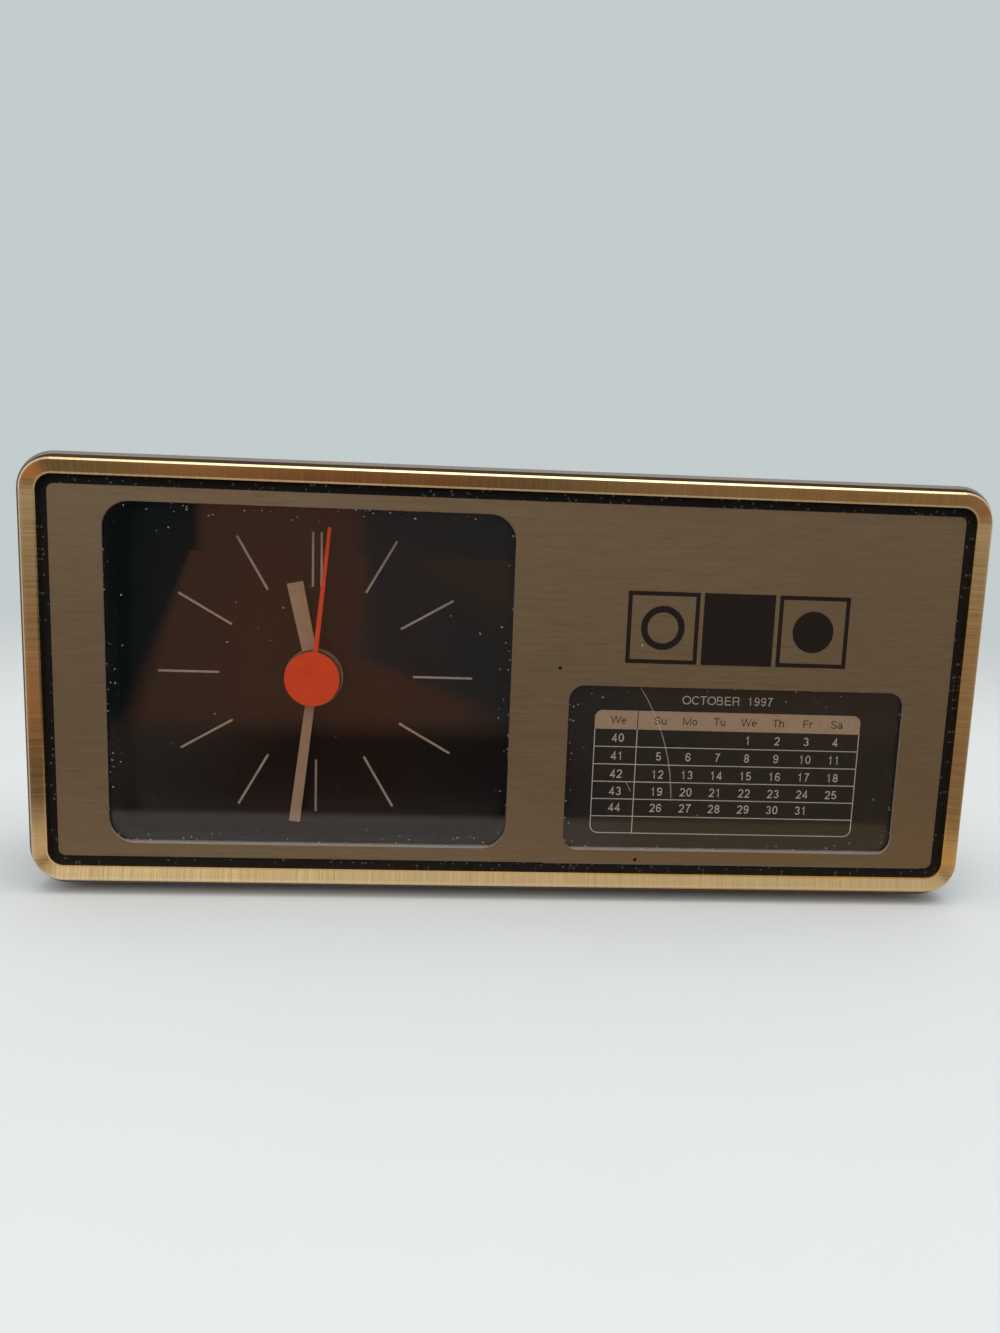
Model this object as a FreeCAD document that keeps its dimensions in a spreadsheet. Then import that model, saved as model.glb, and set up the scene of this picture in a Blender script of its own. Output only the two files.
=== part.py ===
"""Desk clock with a month calendar beside its dial, as an assembly of separate pieces.

The clock stands upright on four rubber feet. X runs to its right, Y to its back and Z up, and the
origin lies on the table under the middle of the case. Every piece is drawn in the plane of the
clock's face, where x runs right, y runs up and z comes towards the viewer, and is then stood
upright. Depths are counted backwards from the front edge of the bezel.
"""
import FreeCAD, Part

import enum
import math
import operator
import os

import Sketcher

Vector = FreeCAD.Vector
doc = FreeCAD.newDocument("DeskClock")

# ----------------------------------------------------------------------------------------------
# Driving sizes, in millimetres, degrees and counts
# ----------------------------------------------------------------------------------------------

DRIVING_SIZES = [
    # The case: a front frame with a rim round the bezel, and a shell behind it
    ("case_width", 182.6),
    ("case_height", 81.4),
    ("case_corner", 7.1),
    ("case_depth", 38.0),
    ("case_wall", 2.0),
    ("rim_chamfer", 0.6),
    ("frame_depth", 7.0),
    ("frame_plate", 2.4),
    ("shell_step", 1.0),
    ("shell_chamfer", 2.0),
    ("tongue_length", 2.5),
    ("tongue_wall", 0.9),
    ("tongue_gap", 0.15),
    ("well_size", 58.4),
    ("well_wall", 1.6),
    ("well_lap", 4.0),
    # The gold bezel and the bronze face plate inside it
    ("bezel_inset", 1.3),
    ("bezel_band", 2.85),
    ("bezel_thick", 2.08),
    ("bezel_dish", 0.62),
    ("bezel_edge", 0.4),
    ("bezel_lip", 0.35),
    ("panel_gap", 1.7),
    ("panel_corner", 1.3),
    ("panel_thick", 0.6),
    # The two windows of the face plate and the clear lenses behind them
    ("dial_window_width", 75.7),
    ("dial_window_side", 9.4),
    ("dial_window_rim", 2.65),
    ("dial_window_corner", 5.0),
    ("window_spacing", 11.25),
    ("month_window_height", 32.7),
    ("month_window_side", 8.75),
    ("month_window_foot", 2.7),
    ("month_window_corner", 3.0),
    ("lens_thick", 0.9),
    ("lens_lap", 2.0),
    ("month_lens_lap", 1.0),
    ("window_relief", 0.3),
    # The pocket behind the calendar window and the month cards in it
    ("card_lap", 1.85),
    ("card_thick", 0.4),
    ("card_gap", 0.2),
    ("card_margin", 2.5),
    ("card_flush", 0.1),
    ("thumb_notch", 16.0),
    ("thumb_notch_depth", 1.6),
    ("stack_gap", 0.04),
    ("spare_card_count", 7),
    ("pocket_depth", 4.6),
    ("pocket_wall", 1.3),
    ("spring_thick", 0.25),
    ("spring_width", 8.0),
    ("spring_length", 40.0),
    ("spring_foot", 1.0),
    ("spring_crown", 16.0),
    # The dial and its thirteen hour bars
    ("dial_depth", 8.46),
    ("dial_thick", 0.8),
    ("tunnel_wall", 1.6),
    ("peg_width", 1.6),
    ("peg_inset", 1.7),
    ("peg_head", 2.6),
    ("peg_head_thick", 0.5),
    ("marker_rim", 1.6),
    ("marker_length", 11.7),
    ("upright_marker_rim", 4.4),
    ("upright_marker_length", 10.6),
    ("marker_width", 0.42),
    ("marker_thick", 0.12),
    ("twelve_spread", 1.66),
    # The hands, with the time that they show
    ("hub_diameter", 11.0),
    ("hand_thick", 0.3),
    ("hour_hand_length", 18.5),
    ("hour_hand_root", 2.5),
    ("hour_hand_tip", 3.15),
    ("hour_hand_depth", 5.9),
    ("hour_hand_angle", 347.9),
    ("minute_hand_rim", 3.4),
    ("minute_hand_root", 1.7),
    ("minute_hand_tip", 2.1),
    ("minute_hand_depth", 4.1),
    ("minute_hand_angle", 187.0),
    ("second_hand_rim", 3.3),
    ("second_hub", 5.0),
    ("second_hand_root", 1.0),
    ("second_hand_tip", 0.6),
    ("second_hand_depth", 2.9),
    ("second_hand_angle", 6.0),
    ("cap_diameter", 10.4),
    ("cap_depth", 2.1),
    # The quartz movement
    ("movement_size", 56.0),
    ("movement_thick", 16.0),
    ("movement_wall", 1.2),
    ("washer_width", 20.0),
    ("washer_thick", 0.5),
    ("bushing_diameter", 6.6),
    ("bushing_proud", 2.0),
    ("nut_width", 8.6),
    ("nut_thick", 1.6),
    ("hour_tube", 5.1),
    ("minute_tube", 3.5),
    ("arbor_diameter", 1.0),
    ("pivot_depth", 0.8),
    ("setting_shaft", 2.0),
    ("running_gap", 0.05),
    ("axial_gap", 0.15),
    ("bay_height", 15.4),
    ("battery_diameter", 14.5),
    ("battery_length", 50.5),
    ("battery_nub", 5.5),
    ("battery_nub_length", 1.2),
    ("contact_thick", 0.3),
    ("contact_gap", 0.1),
    ("contact_width", 9.0),
    ("board_width", 19.0),
    ("board_height", 16.0),
    ("board_thick", 1.0),
    ("board_x", -16.0),
    ("board_up", 17.8),
    ("rib_width", 1.5),
    ("chip_width", 5.0),
    ("chip_thick", 0.9),
    ("chip_up", -2.7),
    ("crystal_diameter", 2.0),
    ("crystal_length", 6.0),
    ("crystal_up", 4.0),
    ("coil_x", 22.0),
    ("coil_up", 13.7),
    ("coil_length", 13.0),
    ("coil_width", 6.0),
    ("coil_flange", 0.8),
    ("coil_winding", 5.2),
    ("core_width", 2.8),
    ("core_thick", 0.8),
    ("stator_limb", 2.6),
    ("magnet_diameter", 6.0),
    ("magnet_thick", 2.6),
    ("magnet_gap", 0.5),
    ("knob_diameter", 12.0),
    ("knob_thick", 4.2),
    ("knob_gap", 0.5),
    ("knob_ridges", 20),
    ("ridge_height", 0.5),
    # Gear train: tooth counts, centre distances, and the teeth in modules and degrees
    ("rotor_leaves", 5),
    ("relay_teeth", 30),
    ("relay_leaves", 5),
    ("second_teeth", 25),
    ("second_leaves", 6),
    ("third_teeth", 45),
    ("third_leaves", 5),
    ("centre_teeth", 40),
    ("cannon_leaves", 8),
    ("motion_teeth", 24),
    ("motion_leaves", 6),
    ("hour_teeth", 24),
    ("setting_leaves", 8),
    ("train_distance", 9.0),
    ("relay_distance", 9.2),
    ("rotor_distance", 7.0),
    ("third_direction", 0.0),
    ("motion_direction", 180.0),
    ("relay_direction", 90.0),
    ("rotor_direction", 30.0),
    ("setting_direction", 150.0),
    ("wheel_tooth", 1.2),
    ("wheel_addendum", 0.75),
    ("wheel_flank_angle", 24.0),
    ("leaf_tooth", 1.1),
    ("leaf_addendum", 0.65),
    ("leaf_flank_angle", 20.0),
    ("dedendum", 1.05),
    ("wheel_thick", 0.7),
    ("leaf_overrun", 0.3),
    # How far behind the movement's inner front face each layer of the train begins
    ("hour_layer", 0.4),
    ("motion_layer", 1.6),
    ("centre_layer", 3.1),
    ("third_layer", 4.2),
    ("second_layer", 5.5),
    ("relay_layer", 6.7),
    ("magnet_layer", 8.4),
    ("stator_layer", 9.2),
    ("board_layer", 10.2),
    # Fasteners and feet
    ("case_screw", 3.0),
    ("case_screw_head", 5.6),
    ("case_screw_head_thick", 2.2),
    ("case_screw_length", 14.0),
    ("case_screw_inset", 7.2),
    ("case_post", 5.6),
    ("case_post_reach", 12.5),
    ("case_post_floor", 2.5),
    ("catch_width", 12.0),
    ("catch_apart", 100.0),
    ("catch_proud", 0.5),
    ("catch_length", 0.7),
    ("rib_end", 13.3),
    ("screw_recess", 0.6),
    ("recess_wall", 1.2),
    ("fit_gap", 0.1),
    ("foot_width", 12.0),
    ("foot_length", 8.0),
    ("foot_socket", 1.0),
    ("foot_height", 1.5),
    ("foot_inset", 19.3),
    ("front_foot_depth", 15.0),
    ("back_foot_inset", 7.0),
]

sheet = doc.addObject("Spreadsheet::Sheet", "Sizes")
for row, (alias, number) in enumerate(DRIVING_SIZES, start=1):
    sheet.set(f"A{row}", str(number))
    sheet.setAlias(f"A{row}", alias)
doc.recompute()


# ----------------------------------------------------------------------------------------------
# Sizes that carry their spreadsheet expression with them
# ----------------------------------------------------------------------------------------------

def arithmetic(sign, work):
    """The pair of methods, forward and reflected, that let sizes be added, multiplied and so on."""

    def forward(self, other):
        other = as_size(other)
        return Size(work(self.value, other.value), f"({self.text} {sign} {other.text})")

    def reflected(self, other):
        return forward(as_size(other), self)

    return forward, reflected


class Size:
    """A number together with the spreadsheet expression that gives it."""

    def __init__(self, value, text):
        self.value = value
        self.text = text

    __add__, __radd__ = arithmetic("+", operator.add)
    __sub__, __rsub__ = arithmetic("-", operator.sub)
    __mul__, __rmul__ = arithmetic("*", operator.mul)
    __truediv__, __rtruediv__ = arithmetic("/", operator.truediv)

    def __neg__(self):
        return self * -1


def as_size(number):
    return number if isinstance(number, Size) else Size(float(number), repr(float(number)))


def tangent(angle):
    """The tangent of an angle in degrees."""
    return Size(math.tan(math.radians(angle.value)), f"tan({angle.text})")


def cosine(angle):
    return Size(math.cos(math.radians(angle.value)), f"cos({angle.text})")


def sine(angle):
    return Size(math.sin(math.radians(angle.value)), f"sin({angle.text})")


def arc_tangent(ratio):
    """The angle in degrees that has this tangent."""
    return Size(math.degrees(math.atan(ratio.value)), f"atan({ratio.text})")


class Driving:
    """The spreadsheet's sizes, by name."""

    def __getattr__(self, alias):
        return Size(float(sheet.get(alias)), f"Sizes.{alias}")


size = Driving()


def bind(item, name, amount):
    """Ties a property or constraint of a document object to an expression on the spreadsheet."""
    item.setExpression(name, as_size(amount).text)


# ----------------------------------------------------------------------------------------------
# Outlines: each returns a function that draws itself, fully constrained, in a sketch
# ----------------------------------------------------------------------------------------------

class Point(enum.IntEnum):
    """The sketcher's numbers for the points of a line or arc."""

    START = 1
    END = 2
    CENTRE = 3


def fix_point(sketch, geometry, point, x, y):
    """Fixes a point of the sketch at x and y from the sketch's origin."""
    for kind, amount in (("DistanceX", x), ("DistanceY", y)):
        amount = as_size(amount)
        rule = Sketcher.Constraint(kind, -1, int(Point.START), geometry, int(point), amount.value)
        index = sketch.addConstraint(rule)
        bind(sketch, f"Constraints[{index}]", amount)


def join(sketch, kind, first, second):
    """Joins the end of one curve to the start of the next."""
    sketch.addConstraint(Sketcher.Constraint(kind, first, int(Point.END), second, int(Point.START)))


def disc(diameter, x=0.0, y=0.0):
    def draw(sketch):
        radius = as_size(diameter) / 2
        centre = Vector(as_size(x).value, as_size(y).value, 0)
        index = sketch.addGeometry(Part.Circle(centre, Vector(0, 0, 1), radius.value))
        fix_point(sketch, index, Point.CENTRE, x, y)
        rule = sketch.addConstraint(Sketcher.Constraint("Radius", index, radius.value))
        bind(sketch, f"Constraints[{rule}]", radius)

    return draw


def polygon(points):
    """A closed outline of straight lines through the points."""

    def draw(sketch):
        corners = [Vector(as_size(x).value, as_size(y).value, 0) for x, y in points]
        edges = zip(corners, corners[1:] + corners[:1])
        lines = [sketch.addGeometry(Part.LineSegment(a, b)) for a, b in edges]
        for line, following in zip(lines, lines[1:] + lines[:1]):
            join(sketch, "Coincident", line, following)
        for line, (x, y) in zip(lines, points):
            fix_point(sketch, line, Point.START, x, y)

    return draw


def rectangle(left, right, bottom, top):
    return polygon([(left, bottom), (right, bottom), (right, top), (left, top)])


def block(width, height, x=0.0, y=0.0):
    """A rectangle with sharp corners, centred on x and y."""
    return rectangle(x - width / 2, x + width / 2, y - height / 2, y + height / 2)


def slab(width, height, corner, x=0.0, y=0.0):
    """A rectangle with round corners, centred on x and y."""

    def draw(sketch):
        half_width = as_size(width) / 2
        half_height = as_size(height) / 2
        radius = as_size(corner)
        middle_x, middle_y = as_size(x), as_size(y)
        arcs = []
        for turn, (side, rise) in enumerate(((1, 1), (-1, 1), (-1, -1), (1, -1))):
            centre_x = middle_x + (half_width - radius) * side
            centre_y = middle_y + (half_height - radius) * rise
            circle = Part.Circle(Vector(centre_x.value, centre_y.value, 0), Vector(0, 0, 1), radius.value)
            first = turn * math.pi / 2
            arc = sketch.addGeometry(Part.ArcOfCircle(circle, first, first + math.pi / 2))
            fix_point(sketch, arc, Point.CENTRE, centre_x, centre_y)
            arcs.append(arc)
        rule = sketch.addConstraint(Sketcher.Constraint("Radius", arcs[0], radius.value))
        bind(sketch, f"Constraints[{rule}]", radius)
        for arc in arcs[1:]:
            sketch.addConstraint(Sketcher.Constraint("Equal", arcs[0], arc))
        for arc, following in zip(arcs, arcs[1:] + arcs[:1]):
            curve, target = sketch.Geometry[arc], sketch.Geometry[following]
            line = sketch.addGeometry(Part.LineSegment(curve.EndPoint, target.StartPoint))
            join(sketch, "Tangent", arc, line)
            join(sketch, "Tangent", line, following)

    return draw


def corners_cut(width, height, cut):
    """A rectangle whose corners are cut off at 45 degrees."""
    half_width, half_height = width / 2, height / 2
    short_width, short_height = half_width - cut, half_height - cut
    return polygon([(-short_width, -half_height), (short_width, -half_height),
                    (half_width, -short_height), (half_width, short_height),
                    (short_width, half_height), (-short_width, half_height),
                    (-half_width, short_height), (-half_width, -short_height)])


# ----------------------------------------------------------------------------------------------
# Pieces
# ----------------------------------------------------------------------------------------------

CASE_CENTRE_UP = size.foot_height + size.case_height / 2
BEZEL_WIDTH = size.case_width - 2 * size.bezel_inset
BEZEL_HEIGHT = size.case_height - 2 * size.bezel_inset
PANEL_WIDTH = BEZEL_WIDTH - 2 * (size.bezel_band + size.panel_gap)
PANEL_HEIGHT = BEZEL_HEIGHT - 2 * (size.bezel_band + size.panel_gap)

DIAL_WINDOW_HEIGHT = PANEL_HEIGHT - 2 * size.dial_window_rim
DIAL_RADIUS = DIAL_WINDOW_HEIGHT / 2
DIAL_X = size.dial_window_side + size.dial_window_width / 2 - PANEL_WIDTH / 2
MONTH_WINDOW_LEFT = DIAL_X + size.dial_window_width / 2 + size.window_spacing
MONTH_WINDOW_WIDTH = PANEL_WIDTH / 2 - size.month_window_side - MONTH_WINDOW_LEFT
MONTH_X = MONTH_WINDOW_LEFT + MONTH_WINDOW_WIDTH / 2
MONTH_UP = size.month_window_foot + size.month_window_height / 2 - PANEL_HEIGHT / 2

pieces = []


class Piece:
    """One sub-part: a PartDesign body drawn in the plane of the face and stood upright.

    Its local origin lies at x and up from the centre of the case, at a depth behind the front
    edge of the bezel, and its local z comes towards the viewer.
    """

    def __init__(self, label, x=0.0, up=0.0, depth=0.0):
        self.body = doc.addObject("PartDesign::Body", label)
        self.body.Label = label
        self.body.Placement = FreeCAD.Placement(Vector(), FreeCAD.Rotation(Vector(1, 0, 0), 90))
        self.depth = as_size(depth)
        bind(self.body, "Placement.Base.x", x)
        bind(self.body, "Placement.Base.y", self.depth - size.case_depth / 2)
        bind(self.body, "Placement.Base.z", CASE_CENTRE_UP + up)
        pieces.append(self.body)

    def level(self, depth):
        """The height in this piece's own z of a depth behind the front edge of the bezel."""
        return self.depth - depth

    def origin(self, role):
        return next(item for item in self.body.Origin.OriginFeatures if item.Role == role)

    def sketch(self, outlines, level, turn=0.0, plane="XY_Plane"):
        sketch = self.body.newObject("Sketcher::SketchObject", "Sketch")
        sketch.AttachmentSupport = [(self.origin(plane), "")]
        sketch.MapMode = "FlatFace"
        bind(sketch, "AttachmentOffset.Base.z", level)
        if as_size(turn).value:
            sketch.AttachmentOffset = FreeCAD.Placement(
                Vector(), FreeCAD.Rotation(Vector(0, 0, 1), as_size(turn).value))
            bind(sketch, "AttachmentOffset.Base.z", level)
            bind(sketch, "AttachmentOffset.Rotation.Angle", turn)
        for outline in outlines:
            outline(sketch)
        return sketch

    def feature(self, kind, sketch, length, backwards):
        feature = self.body.newObject(f"PartDesign::{kind}", kind)
        feature.Profile = sketch
        feature.Reversed = backwards
        bind(feature, "Length", length)
        self.body.Tip = feature
        return feature

    def pad(self, outlines, length, level=0.0, turn=0.0, plane="XY_Plane"):
        """Adds material from the level towards the viewer."""
        return self.feature("Pad", self.sketch(outlines, level, turn, plane), length, False)

    def pocket(self, outlines, length, level=0.0, turn=0.0, plane="XY_Plane", taper=None):
        """Cuts from the level towards the viewer, and makes sure that something was cut.

        A pocket with a taper cuts from the level away from the viewer and narrows as it goes.
        """
        doc.recompute()
        before = self.body.Shape.Volume
        cut = self.feature("Pocket", self.sketch(outlines, level, turn, plane), length, taper is None)
        if taper is not None:
            bind(cut, "TaperAngle", taper)
        doc.recompute()
        if not self.body.Shape.Volume < before - 1e-6:
            raise RuntimeError(f"a pocket of {self.body.Label} cuts nothing")

    def repeat(self, feature, count, sweep=360.0):
        """Repeats a feature round the piece's own z axis."""
        pattern = self.body.newObject("PartDesign::PolarPattern", "PolarPattern")
        pattern.Originals = [feature]
        pattern.Axis = (self.origin("Z_Axis"), [""])
        pattern.Angle = sweep
        bind(pattern, "Occurrences", count)
        self.body.Tip = pattern

    def chamfer_edges(self, width, chosen):
        """Chamfers the edges that the given test picks out of the piece so far."""
        doc.recompute()
        base = self.body.Tip
        names = [f"Edge{index}" for index, edge in enumerate(base.Shape.Edges, start=1) if chosen(edge)]
        if not names:
            raise RuntimeError(f"no edge of {self.body.Label} to finish")
        chamfer = self.body.newObject("PartDesign::Chamfer", "Chamfer")
        chamfer.Base = (base, names)
        bind(chamfer, "Size", width)
        self.body.Tip = chamfer


def at_level(level):
    """A test for edges that lie wholly at one level of a piece's own z."""

    def lies_there(edge):
        box = edge.BoundBox
        height = as_size(level).value
        return abs(box.ZMin - height) < 1e-4 and abs(box.ZMax - height) < 1e-4

    return lies_there


# ----------------------------------------------------------------------------------------------
# Depths and places that follow from the driving sizes
# ----------------------------------------------------------------------------------------------

FRAME_BACK = size.bezel_thick + size.frame_depth
PLATE_BACK = size.bezel_thick + size.frame_plate
PANEL_FRONT = size.bezel_thick - size.panel_thick
LENS_BACK = size.bezel_thick + size.lens_thick

DIAL_FRONT = PANEL_FRONT + size.dial_depth
DIAL_BACK = DIAL_FRONT + size.dial_thick
MOVEMENT_FRONT = DIAL_BACK + size.washer_thick
MOVEMENT_INNER = MOVEMENT_FRONT + size.movement_wall
MOVEMENT_BACK = MOVEMENT_FRONT + size.movement_thick
WELL_FRONT = MOVEMENT_BACK - size.well_lap

# The month cards stand behind the right-hand window and slide out through the case's right side.
CARD_HEIGHT = size.month_window_height + 2 * size.card_lap
CARD_LEFT = MONTH_WINDOW_LEFT - size.card_margin
CARD_RIGHT = size.case_width / 2 - size.card_flush
POCKET_LEFT = CARD_LEFT - size.card_gap
POCKET_HALF = CARD_HEIGHT / 2 + size.card_gap
POCKET_BACK = LENS_BACK + size.pocket_depth
CARD_FRONT = LENS_BACK + size.card_gap
CARD_PITCH = size.card_thick + size.stack_gap
MONTH_LENS_RIGHT = PANEL_WIDTH / 2 - size.lens_lap
SLOT_FRONT = LENS_BACK + size.fit_gap

CASE_POST_BACK = FRAME_BACK + size.case_post_reach
CASE_POST_FLOOR = CASE_POST_BACK + size.fit_gap + size.case_post_floor
CATCH_BACK = FRAME_BACK - size.tongue_length / 2


def four_corners(across, up):
    """The corners of a rectangle round the origin."""
    return [(across / 2 * side, up / 2 * rise) for side in (-1, 1) for rise in (-1, 1)]


# The shell hooks over the frame at the top and is screwed to it at the two lower corners.
CASE_SCREWS = [(side * (size.case_width / 2 - size.case_screw_inset),
                size.case_screw_inset - size.case_height / 2) for side in (-1, 1)]
TUNNEL_WIDTH = size.dial_window_width + 2 * (size.window_relief + size.tunnel_wall)
TUNNEL_HEIGHT = DIAL_WINDOW_HEIGHT + 2 * (size.window_relief + size.tunnel_wall)
PEGS = four_corners(TUNNEL_WIDTH - 2 * size.peg_inset, TUNNEL_HEIGHT - 2 * size.peg_inset)


def discs(diameter, places):
    return [disc(diameter, x, y) for x, y in places]


def blocks(width, places, height=None):
    return [block(width, height or width, x, y) for x, y in places]


# ----------------------------------------------------------------------------------------------
# Case
# ----------------------------------------------------------------------------------------------

def case_outline(inset):
    """The outline of the front frame's rim, drawn in by the inset on every side."""
    inset = as_size(inset)
    return slab(size.case_width - 2 * inset, size.case_height - 2 * inset, size.case_corner - inset)


def case_cavity(inset):
    """The hollow inside the case, its cut corners touching the round ones of the outline."""
    corner = (size.case_corner - inset) * (2 - math.sqrt(2))
    return corners_cut(size.case_width - 2 * inset, size.case_height - 2 * inset, corner)


def catches(gap):
    """The two places at the top where the shell's catches snap into the frame."""
    face = size.case_height / 2 - size.case_wall - size.tongue_gap
    half = size.catch_width / 2 + gap
    low, high = face - size.tongue_wall / 2, face + size.catch_proud + size.tongue_gap / 2 + gap
    return [rectangle(x - half, x + half, low, high) for x in (-size.catch_apart / 2, size.catch_apart / 2)]


def front_frame():
    """The black moulding that carries everything: rim, window tunnel, card pocket and posts."""
    piece = Piece("front_frame", depth=FRAME_BACK)
    front = piece.level(size.bezel_thick)
    plate = piece.level(PLATE_BACK)
    piece.pad([case_outline(0)], size.frame_depth)
    piece.chamfer_edges(size.rim_chamfer, at_level(front))
    piece.pocket([case_cavity(size.case_wall)], plate)
    catch = size.catch_length + 2 * size.fit_gap
    piece.pocket(catches(size.fit_gap), catch, piece.level(CATCH_BACK + size.fit_gap))

    dial_seat = piece.level(DIAL_FRONT)
    piece.pad([block(TUNNEL_WIDTH, TUNNEL_HEIGHT, DIAL_X)], plate - dial_seat, dial_seat)
    pocket_edge = POCKET_HALF + size.pocket_wall
    pocket_seat = piece.level(POCKET_BACK + size.pocket_wall)
    piece.pad([rectangle(POCKET_LEFT - size.pocket_wall, size.case_width / 2 - size.case_wall / 2,
                         MONTH_UP - pocket_edge, MONTH_UP + pocket_edge)],
              plate - pocket_seat, pocket_seat)
    post_end = piece.level(CASE_POST_BACK)
    piece.pad(blocks(size.case_post, CASE_SCREWS), plate - post_end, post_end)
    pegs = [(DIAL_X + x, y) for x, y in PEGS]
    peg_end = piece.level(DIAL_BACK + size.fit_gap + size.peg_head_thick)
    piece.pad(blocks(size.peg_width, pegs), dial_seat - peg_end, peg_end)
    piece.pad(blocks(size.peg_head, pegs), size.peg_head_thick, peg_end)

    piece.pocket([slab(size.dial_window_width + 2 * size.window_relief,
                       DIAL_WINDOW_HEIGHT + 2 * size.window_relief,
                       size.dial_window_corner + size.window_relief, DIAL_X)], front - dial_seat, dial_seat)
    lens_seat = piece.level(LENS_BACK)
    piece.pocket([dial_lens_outline(size.fit_gap, DIAL_X), month_lens_outline(size.fit_gap)],
                 size.lens_thick, lens_seat)
    pocket_floor = piece.level(POCKET_BACK)
    cavity = (MONTH_UP - POCKET_HALF, MONTH_UP + POCKET_HALF)
    piece.pocket([rectangle(POCKET_LEFT, MONTH_LENS_RIGHT + size.fit_gap, *cavity)],
                 size.pocket_depth, pocket_floor)
    slot_depth = piece.level(SLOT_FRONT) - pocket_floor
    piece.pocket([rectangle(MONTH_LENS_RIGHT, size.case_width / 2 + size.case_wall, *cavity)],
                 slot_depth, pocket_floor)
    thumb = [(size.case_width / 2 + size.thumb_notch / 2 - size.thumb_notch_depth, MONTH_UP)]
    piece.pocket(discs(size.thumb_notch, thumb), front)
    piece.pocket(discs(size.case_screw, CASE_SCREWS), size.case_screw_length - size.case_post_floor,
                 post_end)


def rear_case():
    """The black shell behind the frame, with a square well through which the movement is reached."""
    piece = Piece("rear_case", depth=size.case_depth)
    edge = piece.level(FRAME_BACK)
    piece.pad([case_outline(size.shell_step)], edge)
    piece.chamfer_edges(size.shell_chamfer, at_level(0))
    piece.pocket([case_cavity(size.shell_step + size.case_wall)], edge - size.case_wall, size.case_wall)
    piece.pad(tongues(), size.tongue_length, edge)
    piece.pad(catches(as_size(0)), size.catch_length, piece.level(CATCH_BACK))

    well = size.well_size + 2 * size.well_wall
    piece.pad([block(well, well, DIAL_X)], piece.level(WELL_FRONT))
    piece.pocket([block(size.well_size, size.well_size, DIAL_X)], piece.level(WELL_FRONT))
    post_front = piece.level(CASE_POST_BACK + size.fit_gap)
    recess = size.case_screw_head + size.screw_recess
    piece.pad(blocks(recess + 2 * size.recess_wall, CASE_SCREWS), post_front - size.case_wall,
              size.case_wall)
    piece.pocket(blocks(recess, CASE_SCREWS), piece.level(CASE_POST_FLOOR))
    piece.pocket(discs(size.case_screw + 2 * size.fit_gap, CASE_SCREWS), post_front)
    piece.pocket(feet_outlines(piece, size.fit_gap), size.foot_socket, foot_seat(), plane="XZ_Plane")


def tongues():
    """The straight ribs of the shell's edge that reach into the frame, clear of the card pocket."""
    outer_x = size.case_width / 2 - size.case_wall - size.tongue_gap
    outer_y = size.case_height / 2 - size.case_wall - size.tongue_gap
    inner_x, inner_y = outer_x - size.tongue_wall, outer_y - size.tongue_wall
    end_x, end_y = size.case_width / 2 - size.rib_end, size.case_height / 2 - size.rib_end
    pocket_top = MONTH_UP + POCKET_HALF + size.pocket_wall + size.tongue_gap
    return [rectangle(-end_x, end_x, inner_y, outer_y), rectangle(-end_x, end_x, -outer_y, -inner_y),
            rectangle(-outer_x, -inner_x, -end_y, end_y), rectangle(inner_x, outer_x, pocket_top, end_y)]


def foot_seat():
    """How far below the middle of the case the feet begin."""
    return size.case_height / 2 - size.shell_step - size.foot_socket


def feet_outlines(piece, gap):
    """The four feet seen from below, each wider than the foot by the gap on every side."""
    depths = (size.front_foot_depth, size.case_depth - size.back_foot_inset)
    across = size.case_width / 2 - size.foot_inset
    places = [(across * side, piece.level(depth)) for side in (-1, 1) for depth in depths]
    return blocks(size.foot_width + 2 * gap, places, size.foot_length + 2 * gap)


def rubber_feet():
    piece = Piece("rubber_feet", depth=size.case_depth)
    length = size.foot_socket + size.shell_step + size.foot_height
    piece.pad(feet_outlines(piece, as_size(0)), length, foot_seat(), plane="XZ_Plane")


def case_screws():
    """Two pan-head screws that draw the shell on to the frame's posts."""
    piece = Piece("case_screws", depth=CASE_POST_FLOOR)
    piece.pad(discs(size.case_screw_head, CASE_SCREWS), size.case_screw_head_thick,
              -size.case_screw_head_thick)
    piece.pad(discs(size.case_screw, CASE_SCREWS), size.case_screw_length)


# ----------------------------------------------------------------------------------------------
# Bezel, face plate and lenses
# ----------------------------------------------------------------------------------------------

def bezel_ring():
    """The gold frame: a bevelled outer edge, a face dished towards the middle and a flat lip."""
    piece = Piece("bezel_ring", depth=size.bezel_thick)

    slope = size.bezel_band - size.bezel_edge - size.bezel_lip
    piece.pad([case_outline(size.bezel_inset)], size.bezel_thick)
    piece.chamfer_edges(size.bezel_edge, at_level(size.bezel_thick))
    piece.pocket([case_outline(size.bezel_inset + size.bezel_edge)], size.bezel_dish, size.bezel_thick,
                 taper=-arc_tangent(slope / size.bezel_dish))
    piece.pocket([case_outline(size.bezel_inset + size.bezel_band)], size.bezel_thick)


def face_plate():
    """The bronze sheet with its two windows."""
    piece = Piece("face_plate", depth=size.bezel_thick)
    piece.pad([slab(PANEL_WIDTH, PANEL_HEIGHT, size.panel_corner)], size.panel_thick)
    piece.pocket([slab(size.dial_window_width, DIAL_WINDOW_HEIGHT, size.dial_window_corner, DIAL_X),
                  slab(MONTH_WINDOW_WIDTH, size.month_window_height, size.month_window_corner,
                       MONTH_X, MONTH_UP)], size.panel_thick)


def dial_lens_outline(gap, x):
    """The dial's lens, which reaches behind the plate all round its window."""
    lap = 2 * (size.lens_lap + gap)
    return block(size.dial_window_width + lap, DIAL_WINDOW_HEIGHT + lap, x)


def dial_lens():
    piece = Piece("dial_lens", x=DIAL_X, depth=LENS_BACK)
    piece.pad([dial_lens_outline(as_size(0), as_size(0))], size.lens_thick)


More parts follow.
